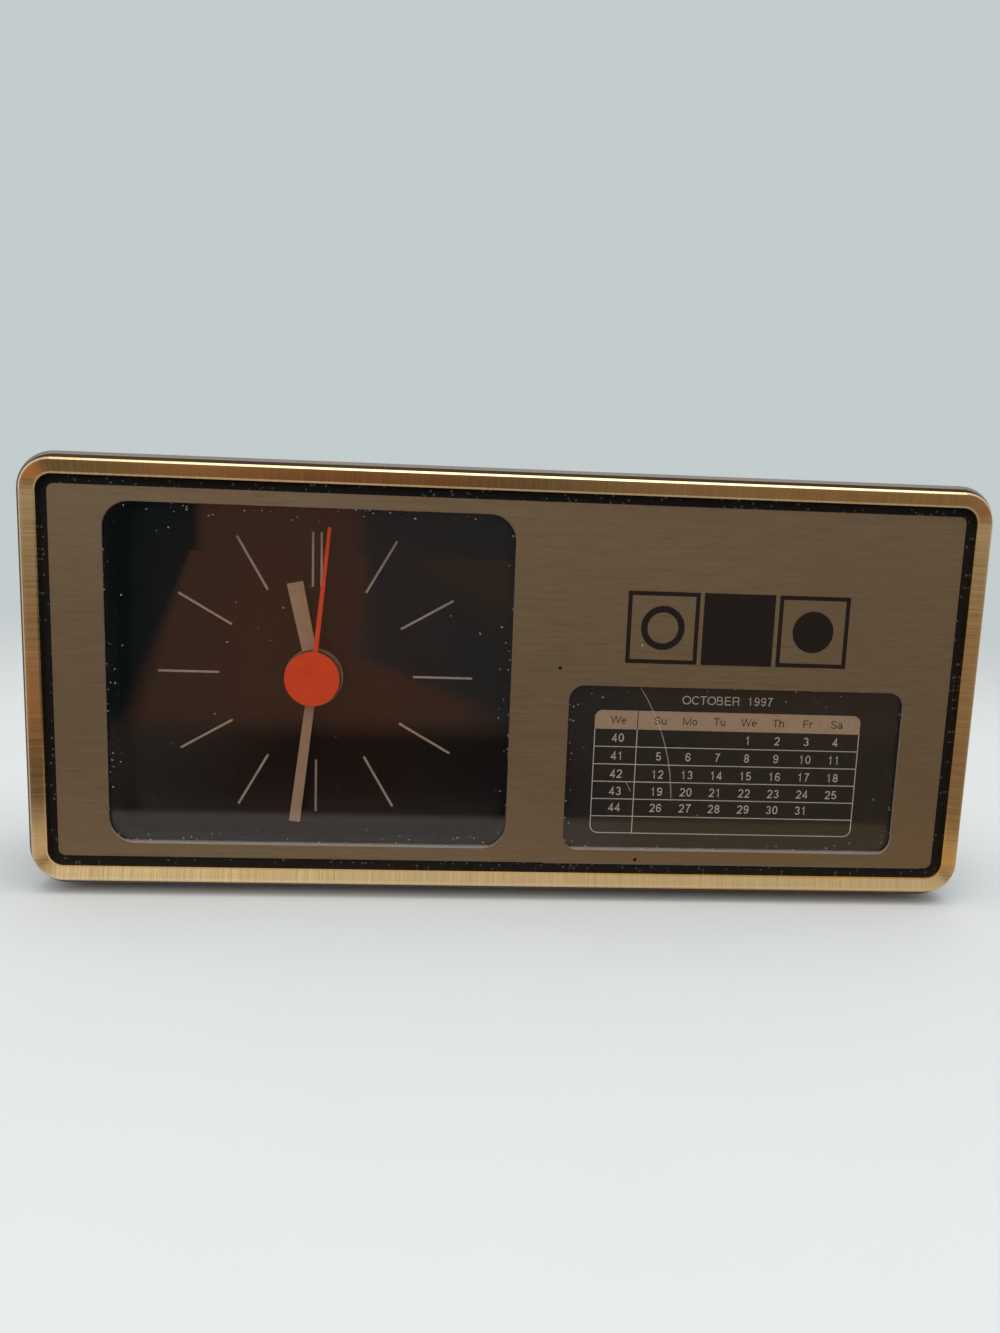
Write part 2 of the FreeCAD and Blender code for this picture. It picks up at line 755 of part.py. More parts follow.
def month_lens_outline(gap):
    """The calendar lens, which also closes the front of the card pocket."""
    lap = size.month_lens_lap + gap
    return rectangle(POCKET_LEFT - lap, MONTH_LENS_RIGHT + gap,
                     MONTH_UP - POCKET_HALF - lap, MONTH_UP + POCKET_HALF + lap)


def calendar_lens():
    piece = Piece("calendar_lens", depth=LENS_BACK)
    piece.pad([month_lens_outline(as_size(0))], size.lens_thick)


# ----------------------------------------------------------------------------------------------
# Month cards
# ----------------------------------------------------------------------------------------------

def month_card(label, front, count):
    """A pack of month cards, its foremost card at the given depth."""
    back = front + size.card_thick + CARD_PITCH * (count - 1)
    piece = Piece(label, x=(CARD_LEFT + CARD_RIGHT) / 2, up=MONTH_UP, depth=back)
    outline = block(CARD_RIGHT - CARD_LEFT, CARD_HEIGHT)
    for card in range(int(as_size(count).value)):
        piece.pad([outline], size.card_thick, CARD_PITCH * card)


def card_spring():
    """The leaf that presses the cards forward: a strip with a raised crown."""
    piece = Piece("card_spring", x=MONTH_X, up=MONTH_UP, depth=POCKET_BACK)
    last_card = CARD_FRONT + CARD_PITCH * (size.spare_card_count + 1)
    rise = piece.level(last_card) - size.fit_gap
    end, crown, thick = size.spring_length / 2, size.spring_crown / 2, size.spring_thick
    bend = end - size.spring_foot
    leaf = polygon([(-end, 0), (-bend, 0), (-crown, rise - thick), (crown, rise - thick), (bend, 0),
                    (end, 0), (end, thick), (bend, thick), (crown, rise), (-crown, rise),
                    (-bend, thick), (-end, thick)])
    piece.pad([leaf], size.spring_width, -size.spring_width / 2, plane="XZ_Plane")


# ----------------------------------------------------------------------------------------------
# Dial and hands
# ----------------------------------------------------------------------------------------------

def dial_plate():
    """The dark dial, staked on the corner pegs of the window tunnel; the movement hangs from it."""
    piece = Piece("dial_plate", x=DIAL_X, depth=DIAL_BACK)
    piece.pad([block(TUNNEL_WIDTH, TUNNEL_HEIGHT)], size.dial_thick)
    piece.pocket([disc(size.bushing_diameter + 2 * size.fit_gap)], size.dial_thick)
    piece.pocket(blocks(size.peg_width + 2 * size.fit_gap, PEGS), size.dial_thick)


def hour_markers():
    """Ten long bars, a shorter one at six and a pair at twelve."""
    piece = Piece("hour_markers", x=DIAL_X, depth=DIAL_FRONT)
    half = size.marker_width / 2
    outer = DIAL_RADIUS - size.marker_rim
    for first in (30, 210):
        bar = piece.pad([rectangle(-half, half, outer - size.marker_length, outer)],
                        size.marker_thick, turn=first)
        piece.repeat(bar, 5, 120)
    outer = DIAL_RADIUS - size.upright_marker_rim
    inner = outer - size.upright_marker_length
    shift = size.twelve_spread / 2
    piece.pad([rectangle(side - half, side + half, inner, outer) for side in (-shift, shift)],
              size.marker_thick)
    piece.pad([rectangle(-half, half, -outer, -inner)], size.marker_thick)


def hand(label, front, length, root, tip, hub, angle, bore=None):
    """A flat hand: the outline of its hub and a square-ended blade turned clockwise from twelve."""
    piece = Piece(label, x=DIAL_X, depth=front + size.hand_thick)
    blade = polygon([(-root / 2, 0), (root / 2, 0), (tip / 2, length), (-tip / 2, length)])
    piece.pad([hub], size.hand_thick)
    piece.pad([blade], size.hand_thick, turn=-angle)
    if bore:
        piece.pocket([disc(bore)], size.hand_thick)


def hands():
    hand("hour_hand", HOUR_HAND_FRONT, size.hour_hand_length, size.hour_hand_root, size.hour_hand_tip,
         disc(size.hub_diameter), size.hour_hand_angle, size.hour_tube)
    hand("minute_hand", MINUTE_HAND_FRONT, DIAL_RADIUS - size.minute_hand_rim, size.minute_hand_root,
         size.minute_hand_tip, disc(size.hub_diameter), size.minute_hand_angle, size.minute_tube)
    hand("second_hand", SECOND_HAND_FRONT, DIAL_RADIUS - size.second_hand_rim, size.second_hand_root,
         size.second_hand_tip, block(size.second_hub, size.second_hub), size.second_hand_angle)


HOUR_HAND_FRONT = PANEL_FRONT + size.hour_hand_depth
MINUTE_HAND_FRONT = PANEL_FRONT + size.minute_hand_depth
SECOND_HAND_FRONT = PANEL_FRONT + size.second_hand_depth
CAP_FRONT = PANEL_FRONT + size.cap_depth
SECOND_ARBOR_FRONT = SECOND_HAND_FRONT + size.hand_thick


def second_cap():
    """The round cap in the middle of the dial, stuck on the second hand's hub."""
    piece = Piece("second_cap", x=DIAL_X, depth=SECOND_HAND_FRONT)
    piece.pad([disc(size.cap_diameter)], piece.level(CAP_FRONT))


# ----------------------------------------------------------------------------------------------
# Gear train
# ----------------------------------------------------------------------------------------------

def polar(distance, direction, x=0.0, y=0.0):
    return x + distance * cosine(direction), y + distance * sine(direction)


def module(distance, first, second):
    """The module at which two tooth counts mesh at a centre distance."""
    return 2 * distance / (first + second)


def meshed(direction, phase, count, other):
    """The phase of a wheel in mesh with one of the given phase and count, which it lies in the
    given direction from."""
    return direction + 180 + (direction - phase) * count / other - 180 / other


MOTION_MODULE = module(size.train_distance, size.cannon_leaves, size.motion_teeth)
HOUR_MODULE = module(size.train_distance, size.motion_leaves, size.hour_teeth)
THIRD_MODULE = module(size.train_distance, size.second_leaves, size.third_teeth)
CENTRE_MODULE = module(size.train_distance, size.third_leaves, size.centre_teeth)
SECOND_MODULE = module(size.relay_distance, size.relay_leaves, size.second_teeth)
RELAY_MODULE = module(size.rotor_distance, size.rotor_leaves, size.relay_teeth)

THIRD_AT = polar(size.train_distance, size.third_direction)
MOTION_AT = polar(size.train_distance, size.motion_direction)
RELAY_AT = polar(size.relay_distance, size.relay_direction)
ROTOR_AT = polar(size.rotor_distance, size.rotor_direction, *RELAY_AT)
SETTING_DISTANCE = MOTION_MODULE * (size.motion_teeth + size.setting_leaves) / 2
SETTING_AT = polar(SETTING_DISTANCE, size.setting_direction, *MOTION_AT)

MOTION_PHASE = meshed(size.motion_direction, as_size(0), size.cannon_leaves, size.motion_teeth)
HOUR_PHASE = meshed(size.motion_direction + 180, as_size(0), size.motion_leaves, size.hour_teeth)
SETTING_PHASE = meshed(size.setting_direction, MOTION_PHASE, size.motion_teeth, size.setting_leaves)
THIRD_PHASE = meshed(size.third_direction, as_size(0), size.second_leaves, size.third_teeth)
CENTRE_PHASE = meshed(size.third_direction + 180, as_size(0), size.third_leaves, size.centre_teeth)
RELAY_PHASE = meshed(size.relay_direction, as_size(0), size.second_teeth, size.relay_leaves)
ROTOR_PHASE = meshed(size.rotor_direction, as_size(0), size.relay_teeth, size.rotor_leaves)


class Wheel(Piece):
    """A moulded wheel: arbor, toothed wheel and leafed pinion in one piece."""

    def __init__(self, label, place=(0.0, 0.0)):
        super().__init__(label, DIAL_X + place[0], as_size(place[1]), MOVEMENT_BACK)

    def cylinder(self, diameter, front, back):
        self.pad([disc(diameter)], back - front, self.level(back))

    def bore(self, diameter, front, back):
        self.pocket([disc(diameter)], back - front, self.level(back))

    def arbor(self, back=None):
        """An arbor that turns in a blind hole of the housing and, as a rule, in the cover."""
        self.cylinder(size.arbor_diameter, ARBOR_FRONT, back or ARBOR_BACK)

    def pin_bore(self, front, back):
        """The bore of a wheel that turns on a fixed pin of the housing."""
        self.bore(size.arbor_diameter + 2 * size.running_gap, MOVEMENT_INNER + front, MOVEMENT_INNER + back)

    def ring(self, count, pitch, tooth, addendum, slope, front, back, phase):
        """Teeth with straight flanks on a many-sided root, one of them in the phase's direction.

        The root has a corner under each tooth, so its flat sides are the floors of the gaps.
        """
        radius = count * pitch / 2
        root, tip = radius - size.dedendum * pitch, radius + addendum * pitch
        start = root / 2
        half_start = tooth * pitch / 2 + (radius - start) * slope
        half_tip = tooth * pitch / 2 - addendum * pitch * slope
        corner = root / cosine(180 / count)
        core = polygon([polar(corner, 360 / count * index) for index in range(int(count.value))])
        self.pad([core], back - front, self.level(back), turn=phase)
        outline = polygon([(start, -half_start), (tip, -half_tip), (tip, half_tip), (start, half_start)])
        self.repeat(self.pad([outline], back - front, self.level(back), turn=phase), count)

    def teeth(self, count, pitch, layer, phase=0.0):
        front = MOVEMENT_INNER + layer
        self.ring(count, pitch, size.wheel_tooth, size.wheel_addendum,
                  tangent(size.wheel_flank_angle - 90 / count), front, front + size.wheel_thick, phase)

    def leaves(self, count, pitch, front, back, phase=0.0):
        """A pinion between two layers."""
        self.ring(count, pitch, size.leaf_tooth, size.leaf_addendum,
                  tangent(size.leaf_flank_angle - 90 / count), MOVEMENT_INNER + front, MOVEMENT_INNER + back,
                  phase)


ARBOR_FRONT = MOVEMENT_INNER - size.pivot_depth
ARBOR_BACK = MOVEMENT_BACK - size.axial_gap
TUBE_OVERHANG = size.axial_gap


def past(layer):
    """The far side of a pinion that meshes with the wheel of the given layer."""
    return layer + size.wheel_thick + size.leaf_overrun / 2


def before(layer):
    return layer - size.leaf_overrun / 2


def hour_wheel():
    piece = Wheel("hour_wheel")
    front = MOVEMENT_INNER + size.hour_layer
    piece.teeth(size.hour_teeth, HOUR_MODULE, size.hour_layer, HOUR_PHASE)
    piece.cylinder(size.hour_tube, HOUR_HAND_FRONT - TUBE_OVERHANG, front)
    piece.bore(size.minute_tube + 2 * size.running_gap, HOUR_HAND_FRONT - TUBE_OVERHANG,
               front + size.wheel_thick)


def cannon_pinion():
    """The tube that carries the minute hand, its pinion and the seat of the slipping centre wheel."""
    piece = Wheel("cannon_pinion")
    front = MINUTE_HAND_FRONT - TUBE_OVERHANG
    end = MOVEMENT_INNER + size.centre_layer + size.wheel_thick + size.axial_gap
    piece.leaves(size.cannon_leaves, MOTION_MODULE, before(size.motion_layer),
                 size.centre_layer - size.stack_gap)
    piece.cylinder(size.minute_tube, front, end)
    piece.bore(size.arbor_diameter + 2 * size.running_gap, front, end)


def centre_wheel():
    """The wheel that drives the cannon pinion through friction, so that the hands can be set."""
    piece = Wheel("centre_wheel")
    front = MOVEMENT_INNER + size.centre_layer
    piece.teeth(size.centre_teeth, CENTRE_MODULE, size.centre_layer, CENTRE_PHASE)
    piece.bore(size.minute_tube + size.running_gap, front, front + size.wheel_thick)


def motion_wheel():
    """The wheel between the hands, on a fixed pin: it slows the minute hand's turn for the hour hand."""
    piece = Wheel("motion_wheel", MOTION_AT)
    piece.teeth(size.motion_teeth, MOTION_MODULE, size.motion_layer, MOTION_PHASE)
    piece.leaves(size.motion_leaves, HOUR_MODULE, before(size.hour_layer), size.motion_layer)
    piece.pin_bore(before(size.hour_layer), size.motion_layer + size.wheel_thick)


def third_wheel():
    """The wheel between seconds wheel and centre wheel, on a fixed pin."""
    piece = Wheel("third_wheel", THIRD_AT)
    piece.teeth(size.third_teeth, THIRD_MODULE, size.third_layer, THIRD_PHASE)
    piece.leaves(size.third_leaves, CENTRE_MODULE, before(size.centre_layer), size.third_layer)
    piece.pin_bore(before(size.centre_layer), size.third_layer + size.wheel_thick)


def second_wheel():
    """The seconds wheel, whose long arbor runs through the cannon pinion to the second hand."""
    piece = Wheel("second_wheel")
    piece.teeth(size.second_teeth, SECOND_MODULE, size.second_layer)
    piece.leaves(size.second_leaves, THIRD_MODULE, before(size.third_layer), size.second_layer)
    piece.cylinder(size.arbor_diameter, SECOND_ARBOR_FRONT, ARBOR_BACK)


def relay_wheel():
    """The wheel between rotor and seconds wheel, on a fixed pin."""
    piece = Wheel("relay_wheel", RELAY_AT)
    piece.teeth(size.relay_teeth, RELAY_MODULE, size.relay_layer)
    piece.leaves(size.relay_leaves, SECOND_MODULE, before(size.second_layer), size.relay_layer, RELAY_PHASE)
    piece.pin_bore(before(size.second_layer), size.relay_layer + size.wheel_thick)


def rotor_pinion():
    piece = Wheel("rotor_pinion", ROTOR_AT)
    piece.leaves(size.rotor_leaves, RELAY_MODULE, before(size.relay_layer), size.magnet_layer, ROTOR_PHASE)
    piece.arbor()


def rotor_magnet():
    """The two-pole magnet that the coil turns half a turn every second."""
    piece = Wheel("rotor_magnet", ROTOR_AT)
    front = MOVEMENT_INNER + size.magnet_layer
    piece.cylinder(size.magnet_diameter, front, front + size.magnet_thick)
    piece.bore(size.arbor_diameter, front, front + size.magnet_thick)


def time_set_knob():
    """The ridged knob on the back of the movement, in one piece with its shaft and pinion."""
    piece = Wheel("time_set_knob", SETTING_AT)
    piece.leaves(size.setting_leaves, MOTION_MODULE, before(size.motion_layer), past(size.motion_layer),
                 SETTING_PHASE)
    piece.arbor(MOVEMENT_INNER + size.motion_layer)
    knob_front = MOVEMENT_BACK + size.knob_gap
    piece.cylinder(size.setting_shaft, MOVEMENT_INNER + size.motion_layer, knob_front)
    ridge = size.knob_diameter / 2
    half_step = 180 / size.knob_ridges
    rim = [polar(ridge - size.ridge_height * (index % 2), half_step * index)
           for index in range(2 * int(size.knob_ridges.value))]
    piece.pad([polygon(rim)], size.knob_thick, piece.level(knob_front + size.knob_thick))


# ----------------------------------------------------------------------------------------------
# Movement housing and what it holds
# ----------------------------------------------------------------------------------------------

ROOM = size.movement_size / 2 - size.movement_wall
BAY_FLOOR = -ROOM
BAY_TOP = BAY_FLOOR + size.bay_height
WORKS_FLOOR = BAY_TOP + size.movement_wall
COVER_HEIGHT = size.movement_size / 2 - (BAY_TOP + WORKS_FLOOR) / 2
COVER_UP = size.movement_size / 2 - COVER_HEIGHT / 2
TURNING = [ROTOR_AT, SETTING_AT]
PINNED = [(MOTION_AT, size.motion_layer), (THIRD_AT, size.third_layer), (RELAY_AT, size.relay_layer)]
CORE_ENDS = (size.coil_up - size.coil_length / 2 - size.stator_limb - size.magnet_gap,
             size.coil_up + size.coil_length / 2 + size.stator_limb + size.magnet_gap)
STATOR_POSTS = [(size.coil_x, CORE_ENDS[0] + size.stator_limb / 2),
                (size.coil_x, CORE_ENDS[1] - size.stator_limb / 2)]
STATOR_FRONT = MOVEMENT_INNER + size.stator_layer
CORE_FRONT = STATOR_FRONT + size.core_thick
BOARD_FRONT = MOVEMENT_INNER + size.board_layer


def movement_housing():
    """The movement's front shell, with the threaded bushing, pins, ledges and battery bay."""
    piece = Piece("movement_housing", x=DIAL_X, depth=MOVEMENT_BACK)
    body = size.movement_size
    inner = piece.level(MOVEMENT_INNER)
    piece.pad([block(body, body)], size.movement_thick)
    piece.pad([disc(size.bushing_diameter)], piece.level(DIAL_FRONT - size.bushing_proud) - inner, inner)
    piece.pocket([block(body, COVER_HEIGHT, 0, COVER_UP)], size.movement_wall)
    piece.pocket([rectangle(-ROOM, ROOM, WORKS_FLOOR, ROOM)], inner)
    piece.pocket([rectangle(-ROOM, ROOM, BAY_FLOOR, BAY_TOP)], inner)
    board, stator = piece.level(BOARD_FRONT), piece.level(STATOR_FRONT)
    edge = (size.board_width - size.rib_width) / 2
    ribs = [(size.board_x + edge * side, size.board_up) for side in (-1, 1)]
    piece.pad(blocks(size.rib_width, ribs, size.board_height), inner - board, board)
    piece.pad(blocks(size.core_width, STATOR_POSTS, size.stator_limb), inner - stator, stator)
    for place, layer in PINNED:
        end = piece.level(MOVEMENT_INNER + layer + size.wheel_thick + size.axial_gap)
        piece.pad(discs(size.arbor_diameter, [place]), inner - end, end)
    piece.pocket(discs(size.arbor_diameter + 2 * size.running_gap, TURNING),
                 piece.level(ARBOR_FRONT - size.stack_gap) - inner, inner)
    piece.pocket([disc(size.hour_tube + 2 * size.running_gap)],
                 piece.level(DIAL_FRONT - size.bushing_proud) - inner, inner)


def movement_cover():
    piece = Piece("movement_cover", x=DIAL_X, depth=MOVEMENT_BACK)
    piece.pad([block(size.movement_size, COVER_HEIGHT, 0, COVER_UP)], size.movement_wall)
    pivots = [ROTOR_AT, (as_size(0), as_size(0))]
    piece.pocket(discs(size.arbor_diameter + 2 * size.running_gap, pivots), size.movement_wall)
    piece.pocket(discs(size.setting_shaft + 2 * size.running_gap, [SETTING_AT]), size.movement_wall)


def fixing_nut():
    """The hexagonal nut that clamps the dial on the movement's bushing."""
    piece = Piece("fixing_nut", x=DIAL_X, depth=DIAL_FRONT)
    radius = size.nut_width / 2 / cosine(as_size(30))
    piece.pad([polygon([polar(radius, as_size(60 * side)) for side in range(6)])], size.nut_thick)
    piece.pocket([disc(size.bushing_diameter)], size.nut_thick)


def rubber_washer():
    """The square gasket between dial and movement."""
    piece = Piece("rubber_washer", x=DIAL_X, depth=MOVEMENT_FRONT)
    piece.pad([block(size.washer_width, size.washer_width)], size.washer_thick)
    piece.pocket([disc(size.bushing_diameter + 2 * size.fit_gap)], size.washer_thick)


def stator():
    """The C of soft iron round the rotor's magnet, with a limb to each end of the coil's core."""
    piece = Piece("stator", x=DIAL_X, depth=CORE_FRONT)
    x, y = ROTOR_AT
    reach = size.magnet_diameter / 2 + size.magnet_gap + size.core_thick
    low, high = CORE_ENDS
    far, limb = size.coil_x + size.core_width / 2, size.stator_limb
    bend = size.coil_x - size.coil_width / 2 - size.core_width
    piece.pad([polygon([(x - reach, y - reach), (x + reach, y - reach), (bend, low), (far, low),
                        (far, low + limb), (bend + limb / 2, low + limb), (x + reach + limb, y - limb / 2),
                        (x + reach + limb, y + limb / 2), (bend + limb / 2, high - limb),
                        (far, high - limb), (far, high), (bend, high), (x + reach, y + reach),
                        (x - reach, y + reach)])], size.core_thick)
    piece.pocket([disc(size.magnet_diameter + 2 * size.magnet_gap, x, y)], size.core_thick)


def coil_core():
    piece = Piece("coil_core", x=DIAL_X, depth=CORE_FRONT + size.core_thick)
    half = size.core_width / 2
    piece.pad([rectangle(size.coil_x - half, size.coil_x + half, *CORE_ENDS)], size.core_thick)


def coil():
    """The bobbin with its winding, round the core."""
    piece = Piece("coil", DIAL_X + size.coil_x, size.coil_up, CORE_FRONT + size.core_thick / 2)
    half = size.coil_length / 2
    for level in (-half, half - size.coil_flange):
        piece.pad([block(size.coil_width, size.coil_width)], size.coil_flange, level, plane="XZ_Plane")
    piece.pad([block(size.coil_winding, size.coil_winding)], size.coil_length - 2 * size.coil_flange,
              -half + size.coil_flange, plane="XZ_Plane")
    piece.pocket([block(size.core_width, size.core_thick)], size.coil_length, -half, plane="XZ_Plane")


def circuit_board():
    """The board with the clock chip on it."""
    piece = Piece("circuit_board", DIAL_X + size.board_x, size.board_up, BOARD_FRONT + size.board_thick)
    piece.pad([block(size.board_width, size.board_height)], size.board_thick)
    piece.pad([block(size.chip_width, size.chip_width, 0, size.chip_up)], size.chip_thick,
              -size.chip_thick)


def quartz_crystal():
    """The can of the quartz crystal, lying along the top of the board."""
    radius = size.crystal_diameter / 2
    piece = Piece("quartz_crystal", DIAL_X + size.board_x, size.board_up + size.crystal_up,
                  BOARD_FRONT + size.board_thick + radius)
    piece.pad([disc(size.crystal_diameter)], size.crystal_length, -size.crystal_length / 2, plane="YZ_Plane")


# ----------------------------------------------------------------------------------------------
# Battery and its contacts
# ----------------------------------------------------------------------------------------------

BATTERY_UP = (BAY_FLOOR + BAY_TOP) / 2
BATTERY_DEPTH = MOVEMENT_INNER + size.card_gap + size.battery_diameter / 2
BATTERY_RIGHT = ROOM - size.contact_thick - size.contact_gap
BATTERY_LEFT = BATTERY_RIGHT - size.battery_length


def battery():
    piece = Piece("battery", DIAL_X, BATTERY_UP, BATTERY_DEPTH)
    nub = size.battery_nub_length
    can = size.battery_length - nub
    piece.pad([disc(size.battery_diameter)], can, BATTERY_LEFT, plane="YZ_Plane")
    piece.pad([disc(size.battery_nub)], nub, BATTERY_LEFT + can, plane="YZ_Plane")


def battery_contact_plus():
    piece = Piece("battery_contact_plus", DIAL_X, BATTERY_UP, BATTERY_DEPTH + size.battery_nub)
    half = size.contact_width / 2
    piece.pad([rectangle(ROOM - size.contact_thick, ROOM, -half, half)], piece.level(MOVEMENT_INNER))


def battery_contact_minus():
    """A strip folded back on itself into a springy tongue."""
    piece = Piece("battery_contact_minus", DIAL_X, BATTERY_UP, BATTERY_DEPTH + size.battery_nub)
    half, thick = size.contact_width / 2, size.contact_thick
    wall, tongue = -ROOM, BATTERY_LEFT - size.contact_gap
    piece.pad([polygon([(wall, -half), (wall + thick, -half), (wall + thick, half - 2 * thick),
                        (tongue - thick, thick), (tongue - thick, -thick), (wall + 3 * thick, -half + thick),
                        (wall + 4 * thick, -half + thick), (tongue, -thick), (tongue, thick),
                        (wall + 2 * thick, half), (wall, half)])], piece.level(MOVEMENT_INNER))


# ----------------------------------------------------------------------------------------------
# Assembly
# ----------------------------------------------------------------------------------------------

def build():
    front_frame()
    rear_case()
    rubber_feet()
    case_screws()
    bezel_ring()
    face_plate()
    dial_lens()
    calendar_lens()
    month_card("calendar_card", CARD_FRONT, as_size(1))
    month_card("spare_cards", CARD_FRONT + CARD_PITCH, size.spare_card_count)
    card_spring()
    dial_plate()
    hour_markers()
    hands()
    second_cap()
    for wheel in (hour_wheel, cannon_pinion, centre_wheel, motion_wheel, third_wheel, second_wheel,
                  relay_wheel, rotor_pinion, rotor_magnet, time_set_knob):
        wheel()
    for piece in (movement_housing, movement_cover, fixing_nut, rubber_washer, stator, coil_core, coil,
                  circuit_board, quartz_crystal, battery, battery_contact_plus, battery_contact_minus):
        piece()


def check():
    """Stops before anything is written if a feature failed or a shape isn't sound."""
    doc.recompute()
    for item in doc.Objects:
        if "Invalid" in item.State or "Error" in item.State:
            raise RuntimeError(f"{item.Label} failed: {item.State}")
    for piece in pieces:
        shape = piece.Shape
        if shape.isNull() or not shape.isValid() or not shape.Solids:
            raise RuntimeError(f"{piece.Label} has no sound shape")


def write_steps():
    os.makedirs("parts", exist_ok=True)
    for piece in pieces:
        piece.Shape.exportStep(os.path.join("parts", f"{piece.Label}.step"))


build()
check()
write_steps()
print(f"{len(pieces)} pieces written")
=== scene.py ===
"""Finishes, prints and small fittings of a desk clock with a month calendar beside its dial.

The clock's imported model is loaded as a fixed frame. Everything is in metres. Seen from the front, X runs
to the right, Y away to the back and Z up.
"""

import math

import bmesh
import bpy
from bpy.props import FloatProperty, FloatVectorProperty, IntProperty, PointerProperty, StringProperty
from bpy.types import Operator, Panel, PropertyGroup
from mathutils import Matrix, Vector


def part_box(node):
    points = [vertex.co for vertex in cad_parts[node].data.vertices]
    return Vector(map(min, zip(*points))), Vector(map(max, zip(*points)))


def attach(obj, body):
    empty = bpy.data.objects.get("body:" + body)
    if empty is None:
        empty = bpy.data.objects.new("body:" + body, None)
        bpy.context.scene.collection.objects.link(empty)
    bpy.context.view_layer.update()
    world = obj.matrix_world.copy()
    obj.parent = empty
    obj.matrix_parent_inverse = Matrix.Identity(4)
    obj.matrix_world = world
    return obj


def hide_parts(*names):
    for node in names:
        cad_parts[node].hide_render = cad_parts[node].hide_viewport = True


bl_info = {
    "name": "Desk Clock with Calendar",
    "version": (1, 0, 0),
    "blender": (4, 5, 0),
    "location": "View3D > Sidebar > Desk Clock",
    "description": "Finishes, prints and fittings of a desk clock with a month calendar",
    "category": "Object",
}

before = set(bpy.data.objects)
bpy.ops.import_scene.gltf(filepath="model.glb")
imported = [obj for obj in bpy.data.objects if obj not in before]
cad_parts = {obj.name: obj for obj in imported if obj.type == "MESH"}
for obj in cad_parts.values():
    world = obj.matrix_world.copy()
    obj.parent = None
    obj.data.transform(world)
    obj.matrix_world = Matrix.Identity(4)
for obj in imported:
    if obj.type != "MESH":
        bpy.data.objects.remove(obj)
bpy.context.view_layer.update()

# Each window's left, right, bottom and top, and the places and radius of the pits in the face plate.
DIAL_WINDOW = (-0.07605, -0.00035, 0.0100, 0.0744)
MONTH_WINDOW = (0.0109, 0.0767, 0.01005, 0.04275)
PITS = ((0.0089, 0.0460), (0.0254, 0.0082))
PIT_RADIUS = 0.00036

# Arcs scratched into the calendar's pane: the middle and radius of each circle, and the heights between
# which it runs.
SCRATCHES = ((-0.00921, 0.01912, 0.04122, 0.0205, 0.0425), (0.0147, 0.0179, 0.0100, 0.0219, 0.0237))

# Dust on the upper faces of the case, which also serves as painted light from above on what faces up, and
# the fibres down in its gaps and on the dial.
DUST_AND_TOP_LIGHT = (0.36, 0.30, 0.26, 1.0)
LINT = (0.30, 0.26, 0.22, 1.0)

# What polished surfaces see of the dim room in front of the clock.
ROOM_LEFT = (0.035, 0.055, 0.060, 1.0)
ROOM_MIDDLE = (0.42, 0.20, 0.12, 1.0)
ROOM_RIGHT = (0.16, 0.15, 0.145, 1.0)

# How far the edges between those three run to the left for each metre in front of the clock.
LEFT_LEAN, RIGHT_LEAN = 0.2686, 0.0871

# Where the camera stands, the way it looks, its upper side and its lens in millimetres.
CAMERA_PLACE = (-0.01242, -0.18887, 0.07044)
CAMERA_LOOKS = (0.05676, 0.98834, -0.14131)
CAMERA_UP = (-0.02729, 0.14302, 0.98934)
CAMERA_LENS = 24.68


# ---- Settings ----

def colour(name, default):
    """A colour that the panel offers under a name."""
    return FloatVectorProperty(name=name, description=f"Colour of the {name.lower()}", default=default,
                               subtype="COLOR", size=3, min=0.0, max=1.0)


def length(name, description, default):
    """A length in metres that the panel offers."""
    return FloatProperty(name=name, description=description, default=default, min=0.0, unit="LENGTH",
                         precision=5)


def power(name, default):
    """The power of a lamp in watts that the panel offers."""
    return FloatProperty(name=name, description=f"Power of the {name.lower()}", default=default,
                         unit="POWER")


class CaseLook(PropertyGroup):
    plastic: colour("Case plastic", (0.050, 0.038, 0.030))
    # The painted shade of the plastic down inside the frame round the plate.
    hollow: colour("Inside of the frame", (0.0045, 0.0032, 0.0028))
    rubber: colour("Rubber feet", (0.018, 0.018, 0.018))
    foot_round: length("Foot rounding", "Radius of the edges of a foot", 0.0006)


class FaceLook(PropertyGroup):
    gold: colour("Anodised bezel", (0.82, 0.60, 0.295))
    bronze: colour("Brushed face plate", (0.200, 0.142, 0.080))
    ink: colour("Ink on the face plate", (0.013, 0.0075, 0.0045))
    square: length("Square", "Side of each printed square", 0.0138)
    square_pitch: length("Square spacing", "Distance from one printed square to the next", 0.0146)
    square_line: length("Square line", "Thickness of the outline of a printed square", 0.0008)


class DialLook(PropertyGroup):
    lacquer: colour("Dial's lacquer", (0.0075, 0.0045, 0.0035))
    marker: colour("Hour bars", (0.43, 0.315, 0.245))
    hand: colour("Hour and minute hands", (0.40, 0.245, 0.15))
    signal: colour("Second hand and its cap", (0.80, 0.055, 0.004))


class CalendarLook(PropertyGroup):
    title: StringProperty(name="Title", description="Month and year on the card", default="OCTOBER  1997")
    first_day: IntProperty(name="First day", description="Column of the first day, Sunday being 0",
                           default=3, min=0, max=6)
    days: IntProperty(name="Days", description="Days in the month", default=31, min=28, max=31)
    first_week: IntProperty(name="First week", description="Number of the month's first week",
                            default=40, min=1, max=53)
    card: colour("Month card", (0.0085, 0.0062, 0.0052))
    band: colour("Band behind the days' names", (0.45, 0.31, 0.20))
    figure: colour("Printed figures and lines", (0.60, 0.53, 0.48))
    figure_height: length("Figure height", "Height of the printed figures", 0.00168)
    rule: length("Lines", "Thickness of the printed lines", 0.00016)
    ink_thick: length("Ink", "Thickness of the printed ink", 0.00002)


class Studio(PropertyGroup):
    backdrop: colour("Backdrop", (0.55, 0.605, 0.61))
    floor: colour("Floor", (0.68, 0.705, 0.705))
    table_edge: length("Bright strip", "How far in front of the clock polished surfaces see a pale floor",
                       0.067)
    floor_reach: length("Floor's reach", "Half the width of the floor", 2.5)
    key: power("Softbox above", 2.2)
    fill: power("Softbox in front", 1.2)


